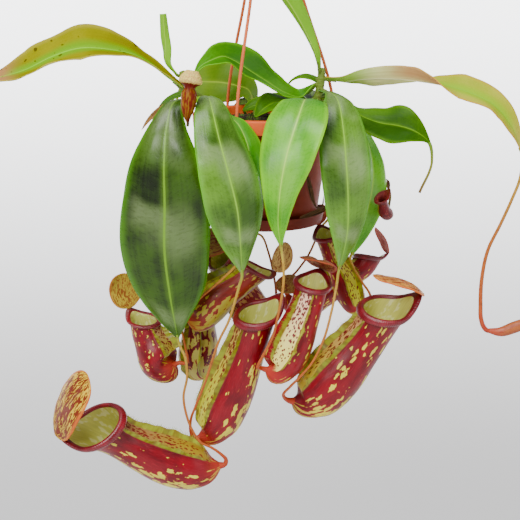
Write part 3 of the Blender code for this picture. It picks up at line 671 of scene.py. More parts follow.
def leaf_finish(name, deep, light, rib, edge, gloss=0.3, painted_sheen_share=0.5, bands=3.0, core=None, tip=None,
                tip_from=0.75, freckled=False, shine=0.4, core_wide=0.62):
    """Dark and light green, midrib and margin, then the gloss, and the painted reflection in bands across
    the blade. A core is a patch along the middle, and a tip is the colour that the far end turns."""
    f = Finish(name, Specular_IOR_Level=shine)
    u, v, x = f.blade_uv()
    cloud = f.noise(f.space(), 26.0, 2.0)
    long_veins = f.noise(f.vector(u * 26.0, v * 2.0, 0.0), 1.0, 2.0)
    strokes = f.noise(f.vector(u * 12.0, (v + x * 0.05) * 85.0, 0.0), 1.0, 3.0, 0.6, 0.6)
    tone = cloud + (long_veins - 0.5) * 0.2 + (strokes - 0.5) * 0.2
    shade = f.mix(tone.step(0.30, 0.75), colour(*deep), colour(*light))
    if core:
        shade = f.mix(x.step(core_wide, 0.1), shade, colour(*core))
    if tip:
        turned = (v + (cloud - 0.5) * 0.2).step(tip_from - 0.1, tip_from + 0.1)
        shade = f.mix(turned, shade, colour(*tip))
    # Painted reflection: pale grey bands across the blade, broken into patches and strokes, stand in for the
    # bright sky mirrored by the wax, with whiter painted highlights at their peaks.
    painted_sheen_patches = f.noise(f.vector(u * 1.6, v * bands * 1.4, gloss * 9.0), 1.0, 1.0)
    wave = ((v * bands + u * 0.3 + painted_sheen_patches) * (2 * math.pi)).math("SINE")
    painted_sheen = wave.step(-0.6, 1.1) * x.step(1.0, 0.55) * (strokes * 0.7 + 0.6) * painted_sheen_patches.step(0.2, 0.5)
    painted_haze_colour = [h * 0.7 + c * 0.3 for h, c in zip(PAINTED_HAZE, light)]
    shade = f.mix(painted_sheen * painted_sheen_share, shade, colour(*painted_haze_colour))
    shade = f.mix(painted_sheen ** 3.0 * painted_sheen_share * 0.1, shade, colour(*PAINTED_GLEAM))
    shade = f.mix(x.step(0.76, 1.0) * 0.45, shade, colour(*edge))
    shade = f.mix(x.step(0.965, 0.99) * 0.7, shade, colour(*edge))
    if freckled:
        dark = f.noise(f.space(), 240.0, 0.0).step(0.76, 0.79)
        shade = f.mix(dark * 0.8, shade, colour(70, 58, 24))
    line = x.step(0.036, 0.014)
    shade = f.mix(x.step(0.16, 0.03) * 0.18, shade, colour(*rib))
    shade = f.mix(line * 0.85, shade, colour(*rib))
    f.bump(long_veins * 0.3 + strokes * 0.6, 0.0004, 0.45)
    return f.done(shade, gloss + (strokes - 0.5) * 0.2 + (long_veins - 0.5) * 0.1 + line * 0.06)


print("painted_sheen_share", PAINTED_HAZE, "and gleam", PAINTED_GLEAM)

# %% Undersides, and the finishes of all leaves


def underside_finish(name, pale, rib, warm=None):
    f = Finish(name, Specular_IOR_Level=0.0 if warm else 0.2)
    u, v, x = f.blade_uv()
    long_veins = f.noise(f.vector(u * 30.0, v * 2.0, 3.0), 1.0, 2.0)
    cloud = f.noise(f.space(), 45.0, 2.0)
    shade = f.mix(long_veins * 0.5 + cloud * 0.3, colour(*pale), darker(pale, 0.82))
    if warm:
        shade = f.mix(long_veins.step(0.35, 0.7) * 0.35, shade, colour(176, 180, 96))
        shade = f.mix(v.step(0.24, 0.10) * 0.85, shade, colour(128, 184, 30))
        brown = abs(v - 0.40 + (cloud - 0.5) * 0.1).step(0.20, 0.05) * u.step(0.35, 0.75)
        shade = f.mix(brown * 0.75, shade, colour(*warm))
    shade = f.mix(x.step(0.07, 0.02) * 0.7, shade, colour(*rib))
    f.bump(long_veins + x.step(0.08, 0.02) * 1.5, 0.0006, 0.5)
    return f.done(shade, 0.42 + long_veins * 0.2)


LEAF_TOPS = {
    "old": leaf_finish("leaf_old_green", (16, 28, 0), (58, 94, 0), (118, 168, 30), (94, 166, 14), 0.29,
                       0.56, shine=0.33),
    "mature": leaf_finish("leaf_mature_green", (54, 88, 12), (108, 160, 42), (150, 204, 60),
                          (110, 190, 40), 0.29, 0.7, 3.4, shine=0.36),
    "bright": leaf_finish("leaf_bright_green", (60, 144, 0), (118, 200, 16), (180, 226, 84),
                          (156, 230, 20), 0.29, 0.26, 2.4, shine=0.3),
    "mid": leaf_finish("leaf_mid_green", (40, 84, 0), (76, 126, 0), (124, 176, 30), (110, 160, 0),
                       0.36, 0.08, 2.0, shine=0.08),
    "yellow": leaf_finish("leaf_yellow_green", (156, 172, 20), (188, 188, 60), (140, 196, 40),
                          (214, 160, 60), 0.42, 0.05, 1.5, core=(150, 190, 16), tip=(196, 180, 84),
                          tip_from=0.86, shine=0.0),
    "olive": leaf_finish("leaf_olive_gold", (124, 122, 0), (146, 144, 0), (150, 216, 40),
                         (190, 176, 70), 0.42, 0.0, 1.5, core=(112, 164, 0), tip=(184, 126, 88),
                         tip_from=0.80, freckled=True, shine=0.0, core_wide=0.5),
    "fresh": leaf_finish("leaf_fresh_green", (44, 108, 0), (84, 154, 4), (140, 200, 50), (120, 190, 10),
                         0.34, 0.12, 2.0, shine=0.15),
    "thin": leaf_finish("leaf_thin_olive", (70, 106, 0), (102, 134, 0), (140, 166, 40), (110, 142, 8),
                        0.42, 0.1, shine=0.1),
    "rolled": leaf_finish("leaf_rolled_green", (114, 196, 0), (160, 226, 30), (180, 234, 80),
                          (176, 234, 50), 0.4, 0.05, shine=0.05),
}
LEAF_BACKS = {
    "green": underside_finish("leaf_back_green", (130, 180, 60), (176, 204, 100)),
    "rosy": underside_finish("leaf_back_rosy", (248, 252, 168), (244, 246, 190), warm=(206, 130, 80)),
    "lime": underside_finish("leaf_back_lime", (136, 204, 20), (186, 230, 80)),
    "moss": underside_finish("leaf_back_moss", (72, 114, 0), (140, 170, 24)),
}
print("leaf finishes:", len(LEAF_TOPS) + len(LEAF_BACKS))

# %% All the leaves
LEAF_LOOK = {
    "leaf_01": ("old", "green"), "leaf_02": ("mature", "green"), "leaf_03": ("bright", "green"),
    "leaf_04": ("mature", "green"), "leaf_05": ("mid", "green"), "leaf_06": ("bright", "green"),
    "leaf_07": ("yellow", "rosy"), "leaf_08": ("rolled", "lime"), "leaf_09": ("olive", "rosy"),
    "leaf_10": ("rolled", "lime"), "leaf_11": ("fresh", "green"), "leaf_12": ("thin", "moss"),
    "leaf_13": ("bright", "green"), "leaf_14": ("mid", "green"), "leaf_15": ("mid", "green"),
    "leaf_16": ("mid", "green"), "leaf_17": ("old", "green"), "leaf_18": ("old", "green"),
    "leaf_19": ("mid", "green"), "leaf_20": ("mid", "green"),
}
for name, (top, back) in LEAF_LOOK.items():
    leaf(name, [LEAF_TOPS[top], LEAF_BACKS[back]])
print("leaves laid:", len(LEAF_LOOK))

# %% [markdown]
# The tendrils carry the pitchers. Each one leaves its leaf's tip in line with the midrib and
# turns up into the base of its pitcher, so both its ends are taken from those two.
# A pitcher's row holds the points from its base to its mouth, the way its front faces, its widest
# radius, its mouth as a share of that, how high the lip rises at the back, its lid, and whether it
# has wings. A lid is an angle, a twist, a length, a half width and a turn. A closed bud has its
# outline in place of a mouth, and a tendril's row names its leaf and its pitcher.

# %% Where the pitchers and tendrils run
PITCHERS = {
    "pitcher_01": ([(-38, -54, -286), (-46, -54, -288), (-59, -54, -287), (-75, -55, -283),
        (-95, -60, -273), (-117, -68, -258), (-138, -78, -241)], (0.4, -0.35, 0.85), 20.5, 1.0, 0.45,
        (14, 14, 61, 24), True),
    "pitcher_02": ([(-76, -31, -206), (-81, -29, -209), (-87, -26, -206), (-93, -24, -195),
        (-98, -22, -183), (-102, -21, -169)], (0.8, -0.6, 0.1), 17, 0.66, 0.4, (75, -50, 30, 14), True),
    "pitcher_03": ([(-56, -46, -265), (-50, -44, -264), (-42, -42, -254), (-33, -41, -235),
        (-21, -42, -205), (-13, -44, -180), (-6, -47, -155)], (-0.85, -0.5, 0.1), 19.5, 0.80, 0.55,
        (155, 0, 24, 11, 35), True),
    "pitcher_04": ([(0, -66, -198), (6, -65, -200), (13, -61, -193), (22, -56, -175), (31, -51, -153),
        (38, -46, -130)], (-0.25, -0.95, 0.2), 17.5, 0.73, 0.35, (8, 0, 36, 16), True),
    "pitcher_05": ([(22, -50, -231), (28, -48, -233), (39, -46, -228), (55, -45, -213), (73, -46, -190),
        (87, -48, -169), (97, -52, -150)], (-0.8, -0.35, 0.5), 22, 0.80, 0.7, (0, 12, 44, 15), True),
    "pitcher_06": ([(83, 8, -168), (78, 10, -168), (73, 12, -159), (67, 14, -142), (58, 18, -125),
        (52, 24, -107)], (0.3, -0.95, 0.1), 12.5, 0.85, 0.5, (45, 0, 20, 9), True),
    "pitcher_07": ([(19, 46, -167), (23, 46, -175), (33, 46, -176), (50, 48, -167), (71, 52, -154),
        (86, 56, -145), (93, 60, -135)], (-0.95, -0.1, 0.3), 13, 0.85, 0.5, (30, 0, 24, 9), True),
    "pitcher_08": ([(-65, -32, -167), (-58, -30, -167), (-49, -28, -158), (-36, -27, -146),
        (-21, -25, -136), (-7, -22, -125)], (-0.6, -0.35, 0.7), 15.5, 0.80, 0.3, (56, 45, 25, 9), True),
    "pitcher_09": ([(5, 24, -173), (-1, 22, -179), (-9, 18, -173), (-20, 12, -155), (-29, 2, -135),
        (-38, -12, -116)], (-0.6, 0.2, -0.6), 14.5, 0.85, 0.4, (15, 0, 38, 16), True),
    "pitcher_10": ([(-51, 14, -222), (-56, 11, -224), (-59, 8, -215), (-57, 6, -196), (-57, 4, -177),
        (-59, 2, -157)], (-0.3, -0.95, 0), 16.5, 0.80, 0.3, None, True),
    "pitcher_11": ([(103, 11, -82), (102, 8, -86), (99, 4, -83), (97, 0, -76), (96, -4, -69)],
        (-1, -0.2, 0), 5.6, 1.0, 0.5, None, False),
}
BUDS = {
    "pitcher_12": ([(-60, -69, 1), (-60, -69, 7), (-59, -67, 17), (-58, -65, 28), (-56, -63, 39)],
        (0, -1, 0), 8.2, [(0.0, 0.12), (0.08, 0.30), (0.3, 0.66), (0.55, 0.72), (0.70, 0.60),
        (0.76, 1.0), (0.88, 0.96), (1.0, 0.55)]),
    "pitcher_13": ([(185, -26, -178), (194, -26, -179), (206, -26, -175), (221, -26, -169)], (0, 0, 1),
        4.8, [(0.0, 0.42), (0.1, 0.58), (0.3, 0.86), (0.55, 1.0), (0.8, 0.9), (0.93, 0.7),
        (1.0, 0.35)]),
}
TENDRILS = {
    "tendril_01": ("leaf_01", "pitcher_01", [(-65, -60, -191), (-64, -60, -207), (-67, -60, -223),
        (-65, -61, -238), (-60, -62, -252), (-53, -61, -263), (-45, -59, -268), (-38, -57, -274),
        (-33, -55, -281)]),
    "tendril_02": ("leaf_16", "pitcher_02", [(-80, -2, -162), (-72, -14, -178), (-67, -27, -193),
        (-66, -33, -204)]),
    "tendril_03": ("leaf_02", "pitcher_03", [(-21, -78, -125), (-25, -76, -140), (-30, -74, -156),
        (-37, -72, -171), (-43, -70, -189), (-49, -66, -209), (-57, -59, -231), (-62, -53, -247),
        (-62, -49, -259)]),
    "tendril_04": ("leaf_03", "pitcher_04", [(13, -83, -107), (13, -84, -123), (10, -85, -142),
        (4, -84, -167), (-3, -81, -182), (-7, -75, -193)]),
    "tendril_05": ("leaf_04", "pitcher_05", [(55, -66, -130), (51, -75, -147), (45, -80, -168),
        (36, -81, -187), (27, -77, -200), (19, -68, -212), (14, -58, -223)]),
    "tendril_06": ("leaf_06", "pitcher_06", [(73, 0, -129), (80, -4, -141), (88, -2, -154)]),
    "tendril_07": ("leaf_18", "pitcher_07", [(48, 66, -112), (44, 62, -122), (38, 58, -134),
        (28, 53, -147), (18, 49, -158)]),
    "tendril_08": ("leaf_13", "pitcher_08", [(-23, -56, -113), (-36, -54, -127), (-51, -50, -141),
        (-63, -45, -153), (-69, -38, -162)]),
    "tendril_09": ("leaf_17", "pitcher_09", [(-3, 66, -119), (2, 54, -129), (7, 41, -148),
        (9, 31, -163)]),
    "tendril_10": ("leaf_12", "pitcher_10", [(-77, 72, 4), (-80, 67, -26), (-75, 58, -66),
        (-66, 50, -109), (-56, 46, -140), (-50, 42, -170), (-46, 38, -198), (-44, 28, -217)]),
    "tendril_11": ("leaf_07", "pitcher_13", [(205, -27, -36), (204, -26, -50), (198, -26, -68),
        (190, -26, -88), (181, -26, -109), (177, -26, -134), (177, -26, -156), (178, -26, -168),
        (180.4, -26, -174.6)]),
}
CUP_ROUTES = {}
for name, row in {**PITCHERS, **BUDS}.items():
    CUP_ROUTES[name] = Route(row[0], row[1], from_end=True)
print("pitchers:", len(CUP_ROUTES), "tendrils:", len(TENDRILS))

# %% [markdown]
# A stem or a tendril is a grid rolled into a tube. Its radius may change along it, and a stem is
# thicker at each node, where a leaf left its scar. The ends are drawn to a point, which closes
# the tube without a separate cap.

# %% Round wires


def tube(route, radius, sides, rows, low=0.0, high=1.0):
    """A closed tube from low to high on a route, whose radius may change along and around it."""
    def place(u, v):
        k = round(v * (rows + 2)) - 1
        s = low + (high - low) * min(max(k, 0), rows) / rows
        centre, _, face, side = route.frame(s)
        r = 0.0 if k < 0 or k > rows else radius(s, u)
        a = 2 * math.pi * u
        return centre + (face * math.cos(a) + side * math.sin(a)) * r
    bm = sheet(sides, rows + 2, place)
    sew(bm)
    return bm


def stem_finish():
    f = Finish("stem_bark")
    u, v = f.uv()
    rings = f.noise(f.vector(u * 4.0, v * 40.0, 0.0), 1.0, 3.0)
    patch = f.noise(f.space(), 160.0, 3.0)
    shade = f.mix((patch + v * 0.4).step(0.35, 0.7), colour(96, 72, 28), colour(116, 140, 40))
    shade = f.mix(rings.step(0.55, 0.7) * 0.5, shade, colour(90, 56, 24))
    f.bump(rings + patch * 0.5, 0.0012, 0.7)
    return f.done(shade, 0.5 + patch * 0.25)


def stem(name, finish):
    route = STEM_ROUTES[name]
    scars = [row[1] for row in LEAVES.values() if row[0] == name]

    def radius(s, u):
        swell = max([math.exp(-(((s - c) * route.length / 1.6) ** 2)) for c in scars])
        a = 2 * math.pi * u
        bark = noise.noise(Vector((math.cos(a) * 2, math.sin(a) * 2, s * 22)))
        return STEM_R * (0.95 + 0.10 * swell + 0.05 * bark) * (1 - 0.25 * ease(0.93, 1.0, s))

    piece(name, tube(route, radius, 20, 90), [finish], "stem", name)


BARK = stem_finish()
for name in STEMS:
    stem(name, BARK)
print("stems grown:", len(STEMS))

# %% [markdown]
# The base of each leaf clasps its stem. That clasp is a short tapered tube from inside the stem
# out along the leaf, flatter than it is wide. Near the top of the left stem a new shoot has just
# opened, and a dried leaf end sticks out behind the big leaf.

# %% Leaf bases, a shoot and a dried end


def leaf_bases():
    bm = new_mesh()
    for name, row in LEAVES.items():
        route = LEAF_ROUTES[name]
        centre = STEM_ROUTES[row[0]].point(row[1])
        reach = min(0.12, 9.0 / route.length)
        path = Route([centre, route.point(0.0), route.point(reach * 0.5), route.point(reach)], (0, 0, 1))
        wide = min(2.4, row[3][0] + 0.6)

        def radius(s, u):
            return (wide - 1.1 * s) * (0.75 + 0.25 * abs(math.cos(2 * math.pi * u)))

        join(bm, tube(path, radius, 12, 14))
    return bm


def shoot():
    bm = new_mesh()
    small_blade(bm, [(-60, -31, 14), (-56, -33, 12), (-52, -35, 15), (-49, -36, 13)], (0, -1, 0.4), 2.6)
    small_blade(bm, [(-61, -30, 12), (-58, -34, 9), (-53, -38, 10)], (0, -1, 0.2), 2.0)
    small_blade(bm, [(-62, -29, 17), (-60, -32, 20), (-59, -33, 24)], (0, -1, 0), 1.6)
    return bm


def dried_finish(name, base, dark):
    f = Finish(name)
    u, v = f.uv()
    fibre = f.noise(f.vector(u * 18.0, v * 3.0, 0.0), 1.0, 3.0)
    spots = f.noise(f.space(), 260.0, 3.0)
    shade = f.mix(fibre.step(0.35, 0.7), colour(*base), colour(*dark))
    f.bump(fibre + spots * 0.4, 0.001, 0.8)
    return f.done(f.mix(spots.step(0.55, 0.7) * 0.6, shade, colour(*dark)), 0.6 + fibre * 0.25)


TAN = dried_finish("dried_tan", (204, 148, 84), (130, 86, 44))
DRIED = dried_finish("dried_brown", (132, 88, 48), (58, 34, 20))
piece("leaf_bases", leaf_bases(), [BARK], "stem")
piece("shoot", shoot(), [LEAF_TOPS["rolled"]], "leaf")
dried_end = new_mesh()
small_blade(dried_end, [(-74, -24, 12), (-86, -22, 4), (-95, -20, -5), (-100, -19, -12)], (0, -1, 0.3), 2.2)
piece("dried_end", dried_end, [TAN], "leaf")
print("leaf bases:", len(LEAVES))

# %% [markdown]
# A tendril is green where it leaves the leaf and turns orange brown on its way down. It swells a
# little before it enters the pitcher, and the long right one swells along most of its length. Both
# its ends are pushed into their neighbours, so that no gap shows. Three small leaves narrow into a
# thin wire at their end, which is a tube too.

# %% The tendrils
NEAR = 3.5                  # a tendril runs this far straight on from its leaf's tip
THICK_END = 3.1             # how thick a tendril ends under a pitcher of 20 mm radius
LONG_BUD = "pitcher_13"
THICKEST = 2.0              # radius of the long right tendril at its bud


def tendril_route(leaf_name, pitcher, between):
    first = LEAF_ROUTES[leaf_name]
    last = CUP_ROUTES[pitcher]
    tip, down = first.point(1.0), first.tangent(1.0)
    base, up = last.point(0.0), last.tangent(0.0)
    # A short lead leaves the elbow under the long bud round.
    lead = 1.6 if pitcher == LONG_BUD else 4.0
    ends = [tip - down * 2.5, tip + down * NEAR], [base - up * lead, base + up * 0.8]
    return Route(ends[0] + between + ends[1], (0.31, 0.2, 0.9))


def tendril_finish():
    f = Finish("tendril_skin", Specular_IOR_Level=0.3)
    u, v = f.uv()
    streak = f.noise(f.vector(u * 6.0, v * 30.0, 0.0), 1.0, 3.0)
    fleck = f.noise(f.space(), 420.0, 2.0)
    age = v + (streak - 0.5) * 0.35
    ramp = {"stops": [(0.0, colour(130, 170, 40)), (0.10, colour(190, 156, 50)),
                      (0.45, colour(178, 104, 36)), (0.84, colour(186, 84, 32)),
                      (1.0, colour(176, 50, 30))]}
    shade = f.node("ValToRGB", ramp, {0: age})
    shade = f.mix(fleck.step(0.55, 0.7) * 0.5, shade, colour(120, 54, 34))
    f.bump(streak, 0.0004, 0.6)
    return f.done(shade, 0.36 + streak * 0.2)


def tendril(name, finish):
    leaf_name, pitcher, between = TENDRILS[name]
    route = tendril_route(leaf_name, pitcher, between)
    row = PITCHERS.get(pitcher) or BUDS[pitcher]
    end, swell = THICK_END * row[2] / 20.0, 8.0
    if pitcher == LONG_BUD:
        end, swell = THICKEST, 90.0

    def radius(s, u):
        left = (1 - s) * route.length
        return 1.0 + 0.2 * math.exp(-s * 9) + (end - 1.0) * math.exp(-left / swell)

    piece(name, tube(route, radius, 12, int(route.length / 1.8)), [finish], "tendril", name)


SKIN = tendril_finish()
for name in TENDRILS:
    tendril(name, SKIN)
print("tendrils hung:", len(TENDRILS))

# %% The wire-like ends of three leaves
WIRE = 1.7                  # where its half width falls under this, a blade ends in a wire
WIRE_ENDED = ("leaf_05", "leaf_11", "leaf_19")


def tail(name, finish):
    """The wire-like end of a small leaf, from where its blade has narrowed away."""
    route = LEAF_ROUTES[name]
    narrow = next(k for k, half in enumerate(LEAVES[name][3]) if k > 3 and half < WIRE)
    start = route.knots[narrow] / route.length

    def radius(s, u):
        return 1.1 + 0.4 * ease(start + 0.12, start, s)

    piece(name.replace("leaf", "tail"), tube(route, radius, 10, 24, start, 1.0), [finish], "leaf")


def tail_finish():
    f = Finish("leaf_tail_skin", Specular_IOR_Level=0.2)
    u, v = f.uv()
    streak = f.noise(f.vector(u * 4.0, v * 20.0, 0.0), 1.0, 2.0)
    ramp = {"stops": [(0.0, colour(104, 150, 30)), (0.5, colour(140, 140, 50)),
                      (0.9, colour(122, 96, 52)), (1.0, colour(84, 60, 40))]}
    return f.done(f.node("ValToRGB", ramp, {0: v + (streak - 0.5) * 0.2}), 0.4 + streak * 0.2)


TAIL = tail_finish()
for name in WIRE_ENDED:
    tail(name, TAIL)
print("wires:", len(WIRE_ENDED))

# %% [markdown]
# A pitcher is a leaf that has grown into a cup. Its body is round below and narrower at the
# neck, its mouth is cut aslant and rises to a peak at the back, and a glossy lip rolls outwards
# all round. Two fringed wings run down its front.
# It could be spun, but then it would be straight and round. Here the grid runs once around and
# then from the base up the outside, over the lip and down the inside, so it stays one skin.

# %% The form of a pitcher
CUP_WALL = 1.3
WEB_H = 6.5                 # how high the wings stand
FOOT = 0.12                 # radius of the base, as a share of the widest radius
BODY = [(0.0, 0.13), (0.03, 0.32), (0.08, 0.62), (0.17, 0.90), (0.29, 1.0), (0.44, 0.97),
        (0.62, 0.83), (0.80, 0.75)]
NECK = 0.955                # where the body ends and the lip starts, as a share of the length
DEEPEST = 0.18              # how far down the inside reaches
LIFTS = ((0.0, 0.6, 0.72, 0.87, NECK), (0.0, 0.0, 0.24, 0.54, 1.0))
# How many rows run up the outside, over the lip and down the inside.
OUTSIDE = 58
LIP = 16
INSIDE = 26
LIP_FROM = math.radians(-129)
LIP_TO = math.radians(172)
WING_AT = 23.0              # degrees from the front to either wing
WING_FROM = 0.10            # where the wings start, and for how much of the length they run
WING_LONG = 0.86


def lip_size(big):
    return 0.12 * big + 1.0


def web_height(s):
    x = (s - WING_FROM) / WING_LONG
    return WEB_H * math.sin(math.pi * x) ** 0.5 if 0 < x < 1 else 0.0


def body_radius(s, mouth):
    body = BODY + [(1.0, mouth)]
    return smooth(*zip(*body), s)


def cup_point(route, angle, s, radius, lift, peak):
    """A place on a pitcher: angle from the wings, place along it, radius, share of the slant, peak."""
    centre, t, face, side = route.frame(min(s, 1.0))
    c = math.cos(math.radians(angle))
    n = math.sin(math.radians(angle))
    slant = -0.42 * c + peak * max(0.0, -c) ** 5
    return centre + (face * c + side * n) * radius + t * (lift * slant * radius)


def cup_rows(big, share):
    """Place, radius, share of the slant and wing height of each row."""
    mouth = share * big
    lip = lip_size(big)
    rows = [(0.0, 0.0, 0.0, 0.0), (0.0, 0.5 * FOOT * big, 0.0, 0.0)]
    for k in range(OUTSIDE + 1):
        s = NECK * (k / OUTSIDE) ** 1.2
        lift = smooth(*LIFTS, s)
        rows.append((s, body_radius(s, share) * big, lift, web_height(s)))
    for k in range(1, LIP + 1):
        a = LIP_FROM + (LIP_TO - LIP_FROM) * k / LIP
        reach = mouth + lip * (0.33 + 0.67 * math.cos(a))
        rows.append((0.972 + 0.026 * math.sin(a), reach, 1.0, 0.0))
    for k in range(1, INSIDE + 1):
        s = NECK - (NECK - DEEPEST) * k / INSIDE
        wall = body_radius(s, share) * big - CUP_WALL
        rows.append((s, wall * ease(0.16, 0.34, s) if k < INSIDE else 0.0, smooth(*LIFTS, s), 0.0))
    return rows


print("rows of a pitcher:", len(cup_rows(20, 0.8)))

# %% [markdown]
# Around the cup the columns stand closer together at the two wings, so that each wing becomes a
# thin fin with a wavy edge, and there are enough of them elsewhere for a round outline.

# %% Columns around a pitcher
WING_COLUMNS = [(-6.5, 0), (-4, 0.03), (-2.2, 0.16), (-1.0, 0.72), (0, 1.0), (1.0, 0.72), (2.2, 0.16),
                (4, 0.03), (6.5, 0)]


def cup_columns(winged):
    """Angle and share of the wing's height of each column, from 0 to 360 degrees."""
    half = [(a, 0.0) for a in (0, 4.5, 9, 13)]
    half += [(WING_AT + off, share if winged else 0.0) for off, share in WING_COLUMNS]
    half += [(33 + 147 * k / 30, 0.0) for k in range(30)]
    back = [(360 - a, share) for a, share in reversed(half)]
    return half + [(180.0, 0.0)] + back


def wing_sway(s, seed):
    """How far a wing leans at s, in degrees, and how its height changes."""
    lean = 1.5 * math.sin(s * 31 + seed) + 0.8 * math.sin(s * 57 + seed * 2)
    grow = 1 + 0.06 * math.sin(s * 43 + seed * 3)
    return lean, grow


def wing_place(route, angle, share, s, radius, lift, web, peak, seed):
    lean, grow = wing_sway(s, seed + (0.0 if angle < 180 else 1.9))
    return cup_point(route, angle + lean * share, s, radius + web * share * grow, lift, peak)


print("columns of a pitcher:", len(cup_columns(True)))

# %% [markdown]
# The body is crimson, with cream blotches drawn out lengthwise that crowd at the back and low
# down, and a clear zone beside the wings. Between the wings lies a yellow green panel with
# maroon spots, which stand closer toward the mouth. Plain noise would give clouds, so a blotch is
# the ground near one of many scattered points, and noise only frays its edge. The colours follow
# the UV map, but a pattern on a flat map would break where its two sides meet, so it is read on a
# cylinder: the cosine and sine of the way around, and the way along.

# %% The finishes of a pitcher
CRIMSON = (138, 0, 22)
CREAM = (238, 220, 60)
ORANGE = (214, 98, 44)
CORAL = (196, 62, 34)
PANEL = (200, 200, 30)


def pitcher_skin(name, seed, red, blotch, amount, foot=CORAL, panel=PANEL, front=1.0):
    """The outside: seed, ground, blotches and how many, foot, panel, and 0 for no clear front."""
    f = Finish(name, Coat_Weight=0.08, Coat_Roughness=0.3, Specular_IOR_Level=0.32)
    u, v, cos, sin = f.around_uv()
    long = f.vector(cos, sin, v * 1.9 + seed)
    angle = (1.0 - abs((u - 0.5) * 2.0)) * 180.0
    mottle = f.noise(long, 2.2, 3.0)
    vein = f.noise(f.vector(cos, sin, v * 0.7), 26.0, 2.0)
    ragged = f.noise(f.vector(cos, sin, v * 3.0 + seed), 9.0, 1.0)
    shade = f.mix(mottle.step(0.35, 0.7), colour(*red), darker(red, 0.74))
    shade = f.mix(vein.step(0.5, 0.8) * 0.25, shade, colour(206, 40, 60))
    # Blotches are the neighbourhoods of scattered points, stretched along the cup.
    marks = f.cells(long, 4.0) + (ragged - 0.5) * 0.75
    back = angle.step(34.0, 98.0) if front else 1.0
    low = v.step(0.95, 0.3)
    reach = 0.07 + amount * (back * 0.17 + low * back * 0.16 + mottle.step(0.4, 0.65) * 0.10)
    blotches = (marks - reach).step(0.03, -0.01)
    pale = f.mix(mottle.step(0.3, 0.7), colour(*blotch), darker(blotch, 0.88))
    rim = (marks - reach).step(0.09, 0.03) * back
    shade = f.mix(rim * 0.4, shade, colour(*ORANGE))
    shade = f.mix(blotches, shade, pale)
    # Painted shadow: a darker band on the body just under the lip, where the rolled lip shades it.
    painted_lip_shadow = v.step(0.90, 0.95) * 0.6
    shade = f.mix(painted_lip_shadow, shade, darker(red, 0.6))
    shade = f.mix(v.step(0.14, 0.0) * (vein * 0.8 + 0.2), shade, colour(*foot))
    fine = f.cells(f.vector(cos, sin, v * 2.6 + seed), 9.0, 1.0) + (ragged - 0.5) * 0.4
    spots = (fine - v * 0.26 - 0.24).step(0.05, 0.0)
    near_mouth = (panel[0] * 1.02, panel[1] * 0.86, panel[2] + 50)
    yellow = f.mix(v.step(0.25, 0.9), colour(*panel), colour(*near_mouth))
    speckled = f.mix(spots, yellow, colour(116, 14, 24))
    inside_panel = angle.step(21.5, 19.5) * v.step(0.03, 0.08) * front
    shade = f.mix(inside_panel, shade, speckled)
    off = abs(angle - WING_AT)
    wing = off.step(3.2, 1.6) * v.step(0.09, 0.14)
    fin = f.mix(ragged.step(0.35, 0.7), colour(160, 176, 30), colour(130, 120, 24))
    shade = f.mix(wing * 0.9, shade, fin)
    shade = f.mix(off.step(0.7, 0.2) * wing * 0.4, shade, colour(158, 100, 44))
    f.bump(vein * 0.5 + mottle * 0.5 + blotches * 0.2, 0.0006, 0.5)
    rough = 0.33 + (mottle - 0.5) * 0.15 + inside_panel * 0.12 + blotches * 0.05
    return f.done(shade, rough + v.step(0.22, 0.05) * 0.35)


print("panel between the wings:", 2 * WING_AT, "degrees wide")

# %% Lip and lining
LIP_RIBS = 80


def lip_skin(name, dark, lit):
    f = Finish(name, Coat_Weight=0.3, Coat_Roughness=0.2)
    u, _ = f.uv()
    turn = u * (2 * math.pi * LIP_RIBS)
    ribs = turn.math("SINE") * 0.5 + 0.5
    cloud = f.noise(f.space(), 90.0, 2.0)
    shade = f.mix(ribs * 0.35 + cloud.step(0.4, 0.7) * 0.5, colour(*dark), colour(*lit))
    f.bump(ribs, 0.0003, 0.5)
    return f.done(shade, 0.24 + cloud * 0.12)


def lining_skin(name, pale, spot):
    f = Finish(name)
    _, v, cos, sin = f.around_uv()
    streaks = f.noise(f.vector(cos, sin, v * 1.2), 9.0, 2.0)
    soft_spots = f.noise(f.vector(cos, sin, v * 5.0), 4.5, 1.0)
    shade = f.mix(streaks.step(0.35, 0.7) * 0.5, colour(*pale), darker(pale, 0.88))
    shade = f.mix(soft_spots.step(0.52, 0.64) * 0.7, shade, colour(*spot))
    # Painted shade: the lining grows darker toward the bottom of the cup, deep inside, where little light
    # reaches.
    shade = f.mix(v.step(0.5, 0.2) * 0.3, shade, colour(120, 112, 40))
    f.bump(streaks, 0.0004, 0.3)
    return f.done(shade, 0.45 + streaks * 0.2)


LIP_DARK = lip_skin("pitcher_lip", (92, 0, 14), (158, 6, 36))
LINING = lining_skin("pitcher_lining", (216, 216, 104), (240, 240, 170))
RED_LINING = lining_skin("small_pitcher_lining", (140, 40, 40), (176, 80, 60))
print("ribs on a lip:", LIP_RIBS)

# %% [markdown]
# The fringe is a row of short hairs along each wing. Particle hair would not survive the export,
# and there are only about a hundred on a large pitcher, so each is a thin cone with three sides.

# %% The fringe on the wings
HAIR_STEP = 1.5
FRINGE_FROM = 0.16          # the share of the cup's length where the fringe starts
FRINGE_LONG = 0.74
rng = random.Random(7)


def hair(bm, root, along, length, thick):
    """Adds a thin cone to bm, from its root along a direction."""
    turn = Vector((0, 0, 1)).rotation_difference(along).to_matrix().to_4x4()
    middle = to_world(root) + along * length * 0.5e-3
    bmesh.ops.create_cone(bm, segments=3, radius1=thick * 1e-3, radius2=0.03e-3,
                          depth=length * 1e-3, matrix=Matrix.Translation(middle) @ turn)


